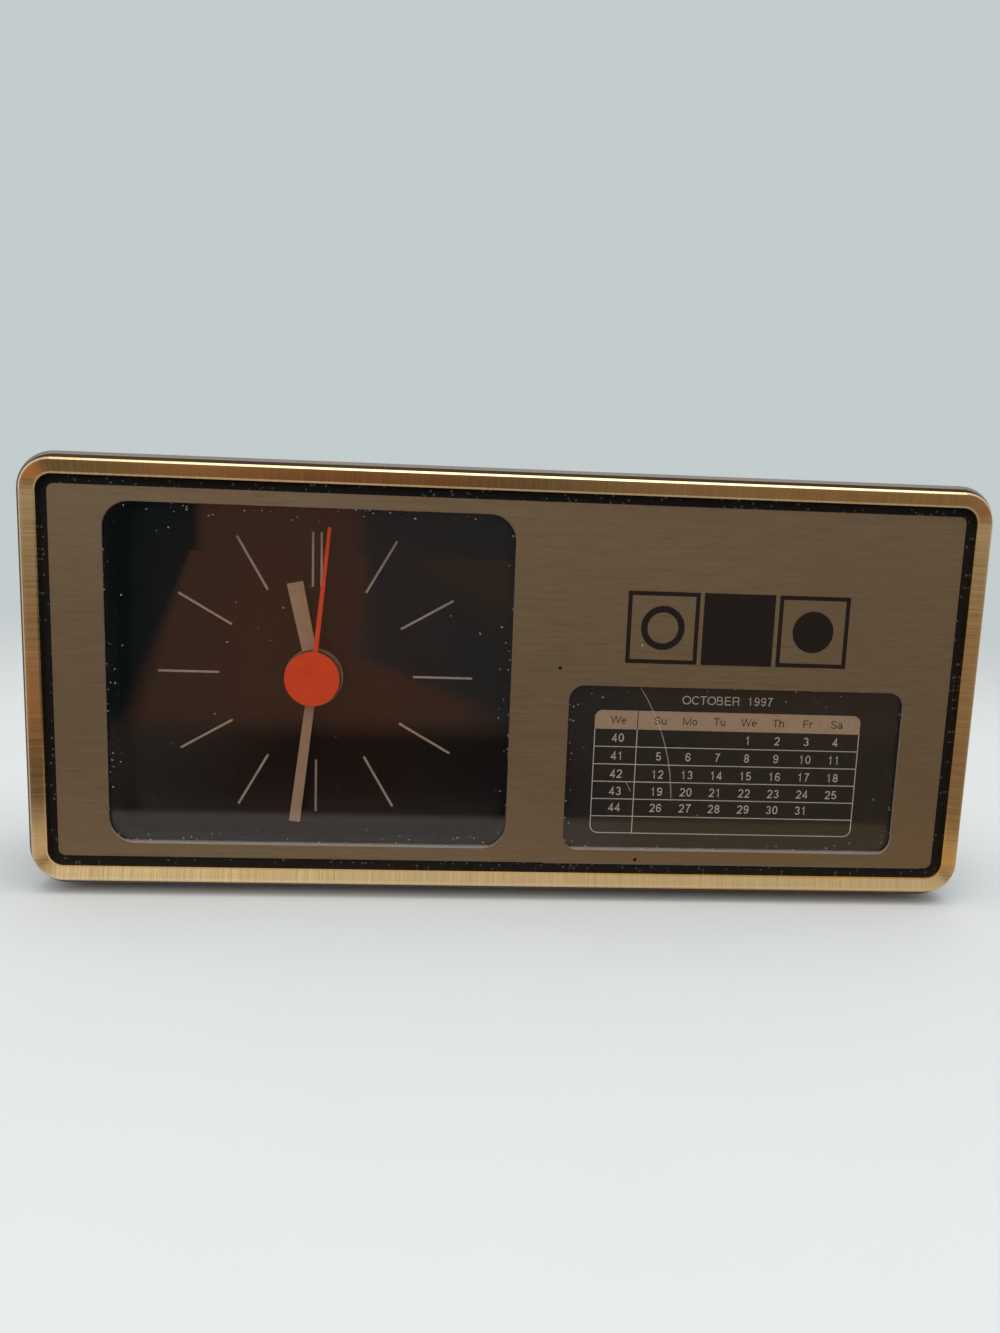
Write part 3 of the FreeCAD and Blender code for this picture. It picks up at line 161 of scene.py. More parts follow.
# ---- Node trees ----

def joining(operation, swapped=False):
    """A method that joins its Value to another, or to a number, by a Math node."""
    def join(value, other=0.0):
        first, second = (other, value) if swapped else (value, other)
        return value.graph.node("ShaderNodeMath", {"operation": operation}, {0: first, 1: second})
    return join


class Value:
    """The output of a node. Python's operators on it add Math nodes."""

    def __init__(self, graph, socket):
        self.graph = graph
        self.socket = socket

    __add__ = joining("ADD")
    __sub__, __rsub__ = joining("SUBTRACT"), joining("SUBTRACT", True)
    __mul__, __rmul__ = joining("MULTIPLY"), joining("MULTIPLY", True)
    __truediv__ = joining("DIVIDE")
    __gt__, __lt__ = joining("GREATER_THAN"), joining("LESS_THAN")
    __abs__, root = joining("ABSOLUTE"), joining("SQRT")
    least, most = joining("MINIMUM"), joining("MAXIMUM")
    sine = joining("SINE")


class Graph:
    """A node tree to which nodes are added by type, settings and sockets."""

    def __init__(self, tree):
        self.tree = tree

    def node(self, kind, settings=None, sockets=None, output=0):
        """Adds a node and gives the Value of one of its outputs. Sockets take Values or constants."""
        node = self.tree.nodes.new(kind)
        for name, setting in (settings or {}).items():
            if name == "stops":
                self.set_stops(node.color_ramp, setting)
            else:
                setattr(node, name, setting)
        for name, given in (sockets or {}).items():
            if isinstance(given, Value):
                self.tree.links.new(given.socket, node.inputs[name])
            else:
                node.inputs[name].default_value = given
        return Value(self, node.outputs[output]) if node.outputs else node

    def set_stops(self, ramp, stops):
        """Gives a ramp its stops, each a position and a level of grey."""
        while len(ramp.elements) < len(stops):
            ramp.elements.new(1.0)
        for element, (position, level) in zip(ramp.elements, stops):
            element.position = position
            element.color = (level, level, level, 1.0)

    def mix(self, mask, first, second):
        """The first colour where the mask is 0 and the second where it is 1.

        Of the Mix node's sockets, inputs 6 and 7 and output 2 are those for colours.
        """
        return self.node("ShaderNodeMix", {"data_type": "RGBA"}, {0: mask, 6: first, 7: second}, 2)

    def fade(self, value, low, high, first, second):
        """A colour that goes from the first to the second while the value goes from low to high."""
        return self.mix(self.level(value, low, high), first, second)

    def blend(self, mask, first, second):
        """The first shader where the mask is 0 and the second where it is 1."""
        return self.node("ShaderNodeMixShader", sockets={0: mask, 1: first, 2: second})

    def level(self, value, low, high, start=0.0, end=1.0):
        """Maps a value from one range to another, and holds it there."""
        return self.node("ShaderNodeMapRange", sockets={
            "Value": value, "From Min": low, "From Max": high, "To Min": start, "To Max": end})

    def split(self, vector):
        """The x, y and z of a vector."""
        return [self.node("ShaderNodeSeparateXYZ", sockets={0: vector}, output=axis) for axis in "XYZ"]

    def ray(self, kind):
        """1 for rays of the given kind, and 0 for all others."""
        return self.node("ShaderNodeLightPath", output=f"Is {kind} Ray")


def rgba(tint, level=1.0):
    """A tint at a level, as a node takes it."""
    return tuple(level * channel for channel in tint[:3]) + (1.0,)


def toned(tint, *levels):
    """A tint with its red, green and blue each at a level of its own."""
    return tuple(channel * level for channel, level in zip(tint, levels)) + (1.0,)


class Finish(Graph):
    """A material of one Principled shader and what drives it."""

    def __init__(self, name, **constants):
        self.material = bpy.data.materials.new(name)
        self.material.use_nodes = True
        super().__init__(self.material.node_tree)
        self.tree.nodes.clear()
        self.shader = self.node("ShaderNodeBsdfPrincipled", sockets={
            socket.replace("_", " "): given for socket, given in constants.items()})
        self.shown = self.node("ShaderNodeOutputMaterial", sockets={"Surface": self.shader})
        self.place = self.node("ShaderNodeTexCoord", output="Object")

    def drive(self, **links):
        """Links values to the Principled shader's sockets."""
        for socket, value in links.items():
            self.tree.links.new(value.socket, self.shader.socket.node.inputs[socket.replace("_", " ")])
        return self

    def show(self, surface):
        """The material, with a shader in the Principled shader's place."""
        self.tree.links.new(surface.socket, self.shown.inputs["Surface"])
        return self.material

    def axes(self):
        """A point's place, as three values in metres."""
        return self.split(self.place)

    def facing(self):
        """The surface's own normal, as three values."""
        return self.split(self.node("ShaderNodeNewGeometry", output="Normal"))

    def away(self, x, z):
        """How far a point lies from a line along y through the given place."""
        aside, _, up = self.axes()
        return ((aside - x) * (aside - x) + (up - z) * (up - z)).root()

    def noise(self, size, stretch=(1.0, 1.0, 1.0), detail=3.0, roughness=0.5):
        """Noise whose spots are about the given size in metres, drawn out along the axes."""
        place = self.node("ShaderNodeMapping", {"vector_type": "POINT"}, {
            "Vector": self.place, "Scale": tuple(1.0 / share for share in stretch)})
        return self.node("ShaderNodeTexNoise", sockets={
            "Vector": place, "Scale": 1.0 / size, "Detail": detail, "Roughness": roughness})

    def swing(self, noise, low, high):
        """A value that goes from low to high as the noise goes through its middle range."""
        return self.level(noise, 0.3, 0.7, low, high)

    def shades(self, mask, tint, first, second):
        """The tint at the first level where the mask is 0 and at the second where it is 1."""
        return self.mix(mask, rgba(tint, first), rgba(tint, second))

    def bump(self, height, depth):
        """Gives the surface a relief of the given depth in metres."""
        return self.drive(Normal=self.node("ShaderNodeBump", sockets={
            "Height": height, "Distance": depth, "Strength": 1.0}))

    def specks(self, size, share, radius=0.16):
        """A mask of dust: small uneven spots in the given share of the cells.

        The size is a cell's in metres, and the radius is a share of it.
        """
        ragged = self.node("ShaderNodeTexNoise", sockets={"Vector": self.place, "Scale": 3.0 / size},
                           output="Color")
        pushed = self.node("ShaderNodeVectorMath", {"operation": "MULTIPLY_ADD"}, {
            0: ragged, 1: (0.35 * size,) * 3, 2: self.place})
        cells = {"Vector": pushed, "Scale": 1.0 / size}
        distance = self.node("ShaderNodeTexVoronoi", sockets=cells, output="Distance")
        tone = self.node("ShaderNodeTexVoronoi", sockets=cells, output="Color")
        chance, spread = [self.node("ShaderNodeSeparateColor", sockets={0: tone}, output=part)
                          for part in ("Red", "Green")]
        return (distance < radius * (spread + 0.3)) * (chance < share)

    def inset(self, window):
        """How far inside the nearest edge of a window a point lies."""
        x, _, z = self.axes()
        left, right, bottom, top = window
        return (x - left).least(right - x).least((z - bottom).least(top - z))


# ---- Materials ----

def plastic_colour(finish, tint, dust_and_top_light):
    """Faint clouds, and the given share of dust and painted light from above on what faces up."""
    # Faces that look up are lightened: dust, and with it painted light from above.
    dust_and_top_light_share = finish.level(finish.facing()[2], 0.15, 0.75, 0.0, dust_and_top_light)
    return finish.mix(dust_and_top_light_share, finish.shades(finish.noise(0.02, detail=4.0), tint, 0.85, 1.25), DUST_AND_TOP_LIGHT)


def moulded(name, tint, roughness=0.42, grain=0.00035, dust_and_top_light=0.0):
    """Moulded plastic: a fine spark-eroded grain, faint clouds and a little dust, with dust and painted
    light from above on what faces up where asked.
    """
    finish = Finish(name, Specular_IOR_Level=0.4)
    fine = finish.noise(grain, detail=2.0)
    dusty = finish.specks(0.0011, 0.03) * 0.35
    body = plastic_colour(finish, tint, dust_and_top_light)
    finish.drive(Base_Color=finish.mix(dusty, body, (0.30, 0.28, 0.25, 1.0)),
                 Roughness=finish.swing(fine, roughness - 0.06, roughness + 0.08))
    return finish.bump(fine, 0.00001).material


def case_front(name, tint, hollow):
    """Moulded plastic: satin outside, with dust and painted light from above on what faces up; down round
    the plate a painted shade of dull black, with some lint.
    """
    finish = Finish(name, Specular_IOR_Level=0.22)
    low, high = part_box("front_frame")
    rim = 0.0034
    sunk = finish.inset((low.x + rim, high.x - rim, low.z + rim, high.z - rim)) > 0.0
    fine = finish.noise(0.00035, detail=2.0)
    # Down in the frame round the plate the same plastic is drawn near black as painted shade.
    inside = finish.shades(finish.noise(0.02, detail=4.0), hollow, 0.7, 1.4)
    lint = finish.specks(0.0007, 0.55, 0.25) * sunk * 0.25
    body = finish.mix(sunk, plastic_colour(finish, tint, 0.5), inside)
    finish.drive(Base_Color=finish.mix(lint, body, LINT),
                 Roughness=finish.swing(fine, 0.40, 0.50) + sunk * 0.25)
    return finish.bump(fine, 0.00001).material


def rubbery(name, tint):
    """Matt rubber with a rough skin."""
    finish = Finish(name, Specular_IOR_Level=0.3)
    fine = finish.noise(0.0004, detail=4.0)
    finish.drive(Base_Color=finish.shades(fine, tint, 0.7, 1.6),
                 Roughness=finish.level(fine, 0.2, 0.8, 0.72, 0.92))
    return finish.bump(fine, 0.00002).material


def drawn_metal(name, tint, roughness=0.32, stretch=(40.0, 1.0, 1.0), size=0.00012):
    """Metal with fine scratches along one axis, or with an even grain where no axis is stretched."""
    finish = Finish(name, Metallic=1.0)
    lines = finish.noise(size, stretch, detail=2.0)
    clouds = finish.noise(0.006, detail=3.0) * 0.25
    finish.drive(Base_Color=finish.mix(clouds, finish.shades(lines, tint, 0.82, 1.15), rgba(tint, 0.75)),
                 Roughness=finish.swing(lines, roughness - 0.07, roughness + 0.1))
    return finish.bump(lines, 0.000002).material


def enamel(finish, tint, smooth, dull):
    """Gives a finish a slight orange peel and spots of wear. The colour that comes back isn't linked yet."""
    wear_and_highlight = finish.noise(0.0025, detail=5.0, roughness=0.7)
    finish.drive(Roughness=finish.swing(wear_and_highlight, smooth, dull))
    finish.bump(finish.noise(0.0006, detail=1.0), 0.000004)
    return finish.shades(finish.level(wear_and_highlight, 0.4, 0.7), tint, 1.0, 0.85)


def painted(name, tint, gloss=0.25):
    """An even enamel under a thin coat."""
    finish = Finish(name, Coat_Weight=0.1, Coat_Roughness=0.2, Specular_IOR_Level=gloss)
    return finish.drive(Base_Color=enamel(finish, tint, 0.35, 0.5)).material


def hand_enamel(name, tint):
    """Satin enamel on a hand. Its round hub is darkened as painted shade, but for the hub's fine front rim.
    """
    finish = Finish(name, Specular_IOR_Level=0.25)
    low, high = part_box("second_cap")
    reach = finish.away((low.x + high.x) / 2, (low.z + high.z) / 2)
    hub, rim = 0.00560, 0.00022
    rim_or_side = (reach > hub - rim) * (finish.facing()[1] < -0.5)
    # The hub's face and sides are darkened as painted shade; only the front of its fine rim keeps the
    # enamel.
    bare_and_shaded = (reach < hub) * (1.0 - rim_or_side)
    body = finish.mix(bare_and_shaded, enamel(finish, tint, 0.33, 0.48), rgba(tint, 0.16))
    return finish.drive(Base_Color=body).material


def printed(name, tint):
    """Screen-printed ink, a little uneven."""
    finish = Finish(name, Specular_IOR_Level=0.15)
    uneven = finish.noise(0.0004, detail=4.0)
    return finish.drive(Base_Color=finish.shades(uneven, tint, 0.75, 1.2),
                        Roughness=finish.swing(uneven, 0.50, 0.70)).material


def anodised_gold(name, tint):
    """Fine strokes across each side of the frame, browner patches, nicks on the front ridge and a painted
    highlight along it.
    """
    finish = Finish(name, Metallic=1.0)
    x, y, z = finish.axes()
    low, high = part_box("bezel_ring")
    middle, half_height = (low.z + high.z) / 2, (high.z - low.z) / 2
    on_side = (abs(x) - high.x) > (abs(z - middle) - half_height)
    level_strokes = finish.noise(0.00022, (60.0, 60.0, 1.0), detail=2.0)
    upright_strokes = finish.noise(0.00022, (1.0, 60.0, 60.0), detail=2.0)
    strokes = upright_strokes + on_side * (level_strokes - upright_strokes)
    tarnish = finish.level(finish.noise(0.012, detail=5.0, roughness=0.65), 0.45, 0.75, 0.0, 0.45)
    body = finish.shades(finish.level(strokes, 0.25, 0.75), tint, 0.86, 1.12)
    browned = finish.mix(tarnish, body, toned(tint, 0.88, 0.80, 0.70))
    # Along the frontmost edge of the frame the gold is lightened toward pale: a painted highlight.
    ridge = finish.level(y, low.y + 0.00016, low.y + 0.00003)
    nicks = finish.specks(0.0045, 0.10, 0.10) * ridge * 0.8
    wear_and_highlight = finish.mix(ridge * 0.45, browned, (0.92, 0.76, 0.52, 1.0))
    finish.drive(Base_Color=finish.mix(nicks, wear_and_highlight, (0.05, 0.035, 0.02, 1.0)),
                 Roughness=finish.swing(strokes, 0.19, 0.27))
    return finish.bump(strokes, 0.0000012).material


def brushed_bronze(name, tint):
    """The face plate: fine level brushing, small nicks, two pits, and uncoated metal on the cut edges."""
    finish = Finish(name, Metallic=0.70, Specular_IOR_Level=0.3)
    lines = finish.noise(0.00011, (45.0, 1.0, 1.0), detail=3.0)
    bands = finish.noise(0.0007, (30.0, 1.0, 1.0), detail=3.0)
    clouds = finish.noise(0.035, detail=3.0)
    body = finish.shades(finish.swing(lines, 0.0, 1.0), tint, 0.80, 1.20)
    body = finish.mix(finish.level(bands, 0.35, 0.65, 0.0, 0.35), body, rgba(tint, 1.22))
    body = finish.mix(finish.level(clouds, 0.4, 0.7, 0.0, 0.4), body, toned(tint, 0.98, 0.88, 0.92))
    body = finish.mix(finish.specks(0.0065, 0.22, 0.035) * 0.7, body, (0.55, 0.46, 0.35, 1.0))
    for x, z in PITS:
        body = finish.mix(finish.away(x, z) < PIT_RADIUS, body, (0.02, 0.014, 0.010, 1.0))
    edge = abs(finish.facing()[1]) < 0.6
    finish.drive(Base_Color=finish.mix(edge, body, (0.52, 0.42, 0.34, 1.0)),
                 Roughness=finish.swing(lines, 0.40, 0.54))
    return finish.bump(lines, 0.000002).material


def dial_lacquer(name, tint):
    """Brown-black gloss lacquer with a little dust on top, and a painted reflection across it: warm in the
    middle and bluish towards the sides.
    """
    finish = Finish(name, Coat_Weight=0.12, Coat_Roughness=0.08, Specular_IOR_Level=0.15)
    low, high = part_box("dial_plate")
    across = finish.level(finish.axes()[0], low.x, high.x)
    wander = finish.noise(0.02, detail=2.0)
    # A painted reflection, warm across the middle of the dial and bluish towards its sides.
    warm = finish.node("ShaderNodeValToRGB", {
        "stops": ((0.12, 0.0), (0.36, 1.0), (0.66, 1.0), (0.88, 0.10))}, {0: across + (wander - 0.5) * 0.12})
    body = finish.mix(warm, toned(tint, 0.55, 0.9, 1.15), toned(tint, 1.5, 0.95, 0.85))
    dust = finish.specks(0.0020, 0.10, 0.06) * 0.6
    finish.drive(Base_Color=finish.mix(dust, body, LINT),
                 Roughness=finish.swing(wander, 0.18, 0.26))
    return finish.bump(finish.noise(0.004, detail=1.0), 0.000003).material


def clear_pane(name, window, scratches=()):
    """Clear acrylic that lets the lamps through, with dust that gathers near the window's edges and a pale
    band just above the window's sill.
    """
    finish = Finish(name, Base_Color=(0.97, 0.975, 0.97, 1.0), Transmission_Weight=1.0, IOR=1.45)
    finish.drive(Roughness=finish.level(finish.noise(0.01, detail=4.0), 0.5, 0.9, 0.0, 0.03))
    open_air = finish.node("ShaderNodeBsdfTransparent", sockets={0: (0.96, 0.96, 0.96, 1.0)})
    pane = finish.blend(finish.ray("Shadow"), finish.shader, open_air)
    dusty_edge, scratch_half = 0.005, 0.00006
    near_edge = finish.level(finish.inset(window), 0.0, dusty_edge, 1.0, 0.0)
    dust = finish.specks(0.0008, near_edge * near_edge * near_edge * 0.9 + 0.014) * 0.5
    z, sill = finish.axes()[2], window[2]
    # A pale band just above the window's sill.
    dust = dust.most(finish.level(z, sill + 0.0001, sill + 0.0004, 0.4, 0.0))
    for middle_x, middle_z, radius, foot, head in scratches:
        on_arc = abs(finish.away(middle_x, middle_z) - radius) < scratch_half
        dust = dust.most(on_arc * (z > foot) * (z < head) * 0.35)
    lint = finish.node("ShaderNodeBsdfDiffuse", sockets={0: (0.50, 0.46, 0.42, 1.0)})
    return finish.show(finish.blend(dust, pane, lint))


def copper_winding(name, tint):
    """Turns of enamelled wire, one beside the other along the coil. Their colour runs from painted shade in
    the grooves to a painted highlight on the crests.
    """
    finish = Finish(name, Metallic=0.9, Roughness=0.32)
    wire = 0.00018
    turns = (finish.axes()[2] * (2 * math.pi / wire)).sine()
    # Painted shade between the turns and a painted highlight on their crests.
    finish.drive(Base_Color=finish.shades(finish.level(turns, -1.0, 1.0), tint, 0.45, 1.3))
    return finish.bump(turns, 0.00004).material


def board_laminate(name, tint):
    """Brown laminate with faint copper tracks under the lacquer."""
    finish = Finish(name, Roughness=0.5)
    tracks = finish.node("ShaderNodeTexBrick", {"offset": 0.5}, {
        "Vector": finish.place, "Scale": 160.0, "Mortar Size": 0.06, "Color1": rgba(tint),
        "Color2": rgba(tint, 1.2), "Mortar": (0.36, 0.20, 0.09, 1.0)})
    speckle = finish.noise(0.0005, detail=5.0)
    finish.drive(Base_Color=finish.mix(speckle * 0.5, tracks, rgba(tint, 0.7)))
    return finish.bump(speckle, 0.00001).material


def cell_jacket(name, tint):
    """The cell's printed film: dark, with a copper band at the positive end and uncovered steel ends."""
    finish = Finish(name, Roughness=0.3, Coat_Weight=0.4, Coat_Roughness=0.1)
    x = finish.axes()[0]
    low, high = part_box("battery")
    collar, nub, base = 0.0135, 0.0018, 0.0006
    band = x > high.x - collar
    bare_and_shaded = (x > high.x - nub) + (x < low.x + base)
    wrinkles = finish.noise(0.003, (4.0, 1.0, 1.0), detail=4.0)
    body = finish.mix(band, finish.shades(wrinkles, tint, 0.8, 1.15), (0.55, 0.27, 0.10, 1.0))
    finish.drive(Base_Color=finish.mix(bare_and_shaded, body, (0.62, 0.62, 0.60, 1.0)),
                 Metallic=finish.level(band + bare_and_shaded, 0.0, 1.0, 0.25, 1.0))
    return finish.bump(wrinkles, 0.00001).material


def natural_acetal(name, tint):
    """Unpainted white plastic with faint flow marks."""
    finish = Finish(name, Specular_IOR_Level=0.5)
    flow = finish.noise(0.003, detail=4.0)
    finish.drive(Base_Color=finish.shades(flow, tint, 0.88, 1.08),
                 Roughness=finish.swing(flow, 0.38, 0.5))
    return finish.bump(finish.noise(0.0003), 0.000006).material


def card_stock(name, tint):
    """The month cards' black stock, with faint clouds and a pale cut edge."""
    finish = Finish(name, Specular_IOR_Level=0.12)
    edge = abs(finish.facing()[1]) < 0.5
    body = finish.shades(finish.noise(0.012, detail=3.0), tint, 0.7, 1.5)
    tooth = finish.noise(0.00025, detail=3.0)
    return finish.drive(Base_Color=finish.mix(edge, body, (0.10, 0.085, 0.07, 1.0)),
                        Roughness=finish.swing(tooth, 0.42, 0.55)).material


# ---- Meshes ----

def dress(node, material):
    """Gives a node of the frame its material."""
    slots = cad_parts[node].data.materials
    slots.clear()
    slots.append(material)


def add_object(name, data):
    """A new object in the scene."""
    added = bpy.data.objects.new(name, data)
    bpy.context.scene.collection.objects.link(added)
    return added


def worked_out(target):
    """The mesh that an object's modifiers make of its own. They are taken off again."""
    bpy.context.view_layer.update()
    graph = bpy.context.evaluated_depsgraph_get()
    mesh = bpy.data.meshes.new_from_object(target.evaluated_get(graph))
    target.modifiers.clear()
    return mesh


def new_piece(name, mesh, body, slot, *replaced):
    """Adds a finished piece of the clock from a mesh in place, for the plain pieces named last."""
    piece = add_object(name, mesh)
    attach(piece, body)
    if replaced:
        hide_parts(*replaced)


def finish_mesh(name, shape, material, smooth_angle=None):
    """Turns a bmesh into a mesh with merged vertices and faces that point outwards."""
    bmesh.ops.remove_doubles(shape, verts=shape.verts, dist=1e-7)
    bmesh.ops.dissolve_degenerate(shape, edges=shape.edges, dist=1e-8)
    bmesh.ops.recalc_face_normals(shape, faces=shape.faces)
    mesh = bpy.data.meshes.new(name)
    shape.to_mesh(mesh)
    shape.free()
    mesh.materials.append(material)
    if smooth_angle:
        mesh.shade_smooth()
        mesh.set_sharp_from_angle(angle=math.radians(smooth_angle))
    return mesh


def add_prism(shape, outline, front, back):
    """A straight solid: an outline in x and z, drawn out from one depth to another."""
    rings = [[shape.verts.new((x, depth, z)) for x, z in outline] for depth in (front, back)]
    shape.faces.new(rings[0])
    shape.faces.new(list(reversed(rings[1])))
    count = len(outline)
    for index in range(count):
        following = (index + 1) % count
        shape.faces.new((rings[0][index], rings[1][index], rings[1][following], rings[0][following]))


def box_outline(left, right, bottom, top):
    """A rectangle's corners in x and z."""
    return [(left, bottom), (right, bottom), (right, top), (left, top)]


def arc(x, z, wide, tall, start, end, count):
    """Points along a part of an ellipse in x and z, from one angle to another."""
    turns = (start + (end - start) * step / count for step in range(count + 1))
    return [(x + wide * math.cos(turn), z + tall * math.sin(turn)) for turn in turns]


def circle(radius, x, z, count=48):
    """Points round a circle in x and z."""
    return arc(x, z, radius, radius, 0.0, 2 * math.pi, count)[:-1]


def add_stroke(shape, points, line, front, back):
    """A line of even width along points in x and z, mitred at its corners.

    It is closed where its last point is its first.
    """
    bluntest_mitre = 0.4
    closed = math.dist(points[0], points[-1]) < 1e-7
    places = [Vector(point) for point in (points[:-1] if closed else points)]
    count = len(places)
    rings = []
    for index, place in enumerate(places):
        arriving = (place - places[index - 1]).normalized() if closed or index else Vector((0, 0))
        leaving = (places[(index + 1) % count] - place).normalized() if closed or index < count - 1 \
            else Vector((0, 0))
        along = (arriving + leaving).normalized()
        reach = line / 2 / max(bluntest_mitre, along.dot(leaving if leaving.length else arriving))
        aside = Vector((-along.y, along.x)) * reach
        rings.append([shape.verts.new((spot.x, depth, spot.y)) for spot, depth in (
            (place + aside, front), (place - aside, front), (place - aside, back), (place + aside, back))])
    for first, second in zip(rings, rings[1:] + rings[:1] * closed):
        for corner in range(4):
            following = (corner + 1) % 4
            shape.faces.new((first[corner], first[following], second[following], second[corner]))
    if not closed:
        shape.faces.new(rings[0])
        shape.faces.new(rings[-1])


def rounded(left, right, bottom, top, radius):
    """A rectangle's outline with round corners, as its upper and its lower half."""
    middles = box_outline(left + radius, right - radius, bottom + radius, top - radius)
    quarter = math.pi / 2
    lower_left, lower_right, upper_right, upper_left = [
        arc(x, z, radius, radius, turn * quarter, (turn + 1) * quarter, 6)
        for turn, (x, z) in zip((2, 3, 0, 1), middles)]
    return upper_right + upper_left, lower_left + lower_right


def bow(x, z, wide, tall, start, end):
    """A bent stroke of a letter. Its angles are in degrees and its points about 20 degrees apart."""
    count = max(3, round(abs(end - start) / 20))
    return arc(x, z, wide, tall, math.radians(start), math.radians(end), count)


# The strokes of a six, which turned round are those of a nine.
SIX = [bow(.385, .30, .24, .24, 0, 360), bow(.40, .52, .255, .42, 32, 180) + [(.145, .30)]]

# Each letter's width, and its strokes' middle lines, for capitals of height 1. The capitals are those of
# the months' names and of the days' initials.
LETTERS = {
    " ": (.39, []),
    "0": (.77, [bow(.385, .5, .25, .44, 0, 360)]),
    "1": (.77, [[(.20, .74), (.31, .77), (.38, .84), (.41, .94), (.41, 0)]]),
    "2": (.77, [bow(.385, .68, .24, .26, 170, -30) + [(.14, .06), (.64, .06)]]),
    "3": (.77, [bow(.37, .71, .20, .23, 165, -90), bow(.37, .27, .24, .21, 90, -165)]),
    "4": (.77, [[(.50, 0), (.50, .93), (.12, .27), (.68, .27)]]),
    "5": (.77, [[(.60, .94), (.23, .94), (.17, .50)] + bow(.38, .32, .24, .26, 135, -160)]),
    "6": (.77, SIX),
    "7": (.77, [[(.13, .94), (.63, .94), (.45, .62), (.34, .32), (.30, 0)]]),
    "8": (.77, [bow(.385, .715, .19, .225, 0, 360), bow(.385, .27, .24, .21, 0, 360)]),
    "9": (.77, [[(.77 - x, 1 - z) for x, z in stroke] for stroke in SIX]),
    "A": (.93, [[(.03, 0), (.465, .96), (.90, 0)], [(.18, .34), (.75, .34)]]),
    "B": (.93, [[(.13, .06), (.13, .94), (.45, .94)] + bow(.45, .725, .22, .215, 90, -90) + [(.13, .51)],
                [(.13, .51), (.13, .06), (.48, .06)] + bow(.48, .285, .25, .225, -90, 90)]),
    "C": (1.0, [bow(.52, .5, .40, .44, 40, 320)]),
    "D": (1.0, [[(.13, .06), (.13, .94), (.42, .94)] + bow(.45, .5, .43, .44, 90, -90) + [(.13, .06)]]),
    "E": (.93, [[(.78, .94), (.14, .94), (.14, .06), (.80, .06)], [(.14, .51), (.73, .51)]]),
    "F": (.85, [[(.74, .94), (.14, .94), (.14, 0)], [(.14, .50), (.66, .50)]]),
    "G": (1.08, [bow(.53, .5, .43, .44, 42, 345) + [(.96, .46), (.58, .46)], [(.96, .46), (.96, 0)]]),
    "H": (1.0, [[(.13, 0), (.13, 1)], [(.87, 0), (.87, 1)], [(.13, .52), (.87, .52)]]),
    "I": (.39, [[(.195, 0), (.195, 1)]]),
    "J": (.69, [[(.55, 1), (.55, .28)] + bow(.315, .28, .235, .22, 0, -180)]),
    "L": (.77, [[(.13, 1), (.13, .06), (.72, .06)]]),
    "M": (1.16, [[(.13, 0), (.13, .93), (.58, .08), (1.03, .93), (1.03, 0)]]),
    "N": (1.0, [[(.13, 0), (.13, .93), (.87, .07), (.87, 1)]]),
    "O": (1.08, [bow(.54, .5, .45, .44, 0, 360)]),
    "P": (.93, [[(.13, 0), (.13, .94), (.50, .94)] + bow(.52, .70, .26, .24, 90, -90) + [(.13, .46)]]),
    "R": (1.0, [[(.13, 0), (.13, .94), (.55, .94)] + bow(.57, .71, .24, .23, 90, -90) + [(.13, .48)],
                [(.57, .48), (.74, .38), (.78, .10), (.83, 0)]]),
    "S": (.93, [bow(.465, .715, .29, .225, 15, 250) + bow(.465, .275, .33, .215, 80, -170)]),
    "T": (.85, [[(.04, .94), (.81, .94)], [(.425, .94), (.425, 0)]]),
    "U": (1.0, [[(.13, 1), (.13, .36)] + bow(.5, .36, .37, .30, 180, 360) + [(.87, 1)]]),
    "V": (.93, [[(.04, 1), (.465, .04), (.89, 1)]]),
    "W": (1.31, [[(.03, 1), (.34, .04), (.655, .95), (.97, .04), (1.28, 1)]]),
    "Y": (.93, [[(.04, 1), (.465, .45), (.89, 1)], [(.465, .45), (.465, 0)]]),
    "a": (.77, [bow(.37, .48, .22, .22, 160, 0) + [(.59, .12), (.67, .05)],
                bow(.33, .215, .20, .165, 0, 360), [(.59, .42), (.33, .37)]]),
    "e": (.77, [[(.12, .38), (.64, .38)] + bow(.385, .36, .255, .31, 10, 310)]),
    "h": (.77, [[(.12, 0), (.12, 1)], [(.12, .42)] + bow(.37, .44, .24, .24, 180, 0) + [(.61, 0)]]),
    "o": (.77, [bow(.385, .35, .27, .31, 0, 360)]),
    "r": (.46, [[(.12, 0), (.12, .70)], bow(.38, .42, .26, .25, 180, 80)]),
    "u": (.77, [[(.12, .70), (.12, .30)] + bow(.36, .30, .24, .24, 180, 360), [(.60, .70), (.60, 0)]]),
}


def add_words(shape, words, x, z, height, front, back, weight=0.118):
    """Plain sans-serif letters with their middle on x and their foot on z, facing -Y."""
    left = x - height * sum(LETTERS[letter][0] for letter in words) / 2
    for letter in words:
        width, strokes = LETTERS[letter]
        for stroke in strokes:
            places = [(left + across * height, z + up * height) for across, up in stroke]
            add_stroke(shape, places, weight * height, front, back)
        left += width * height


# ---- Geometry node trees ----

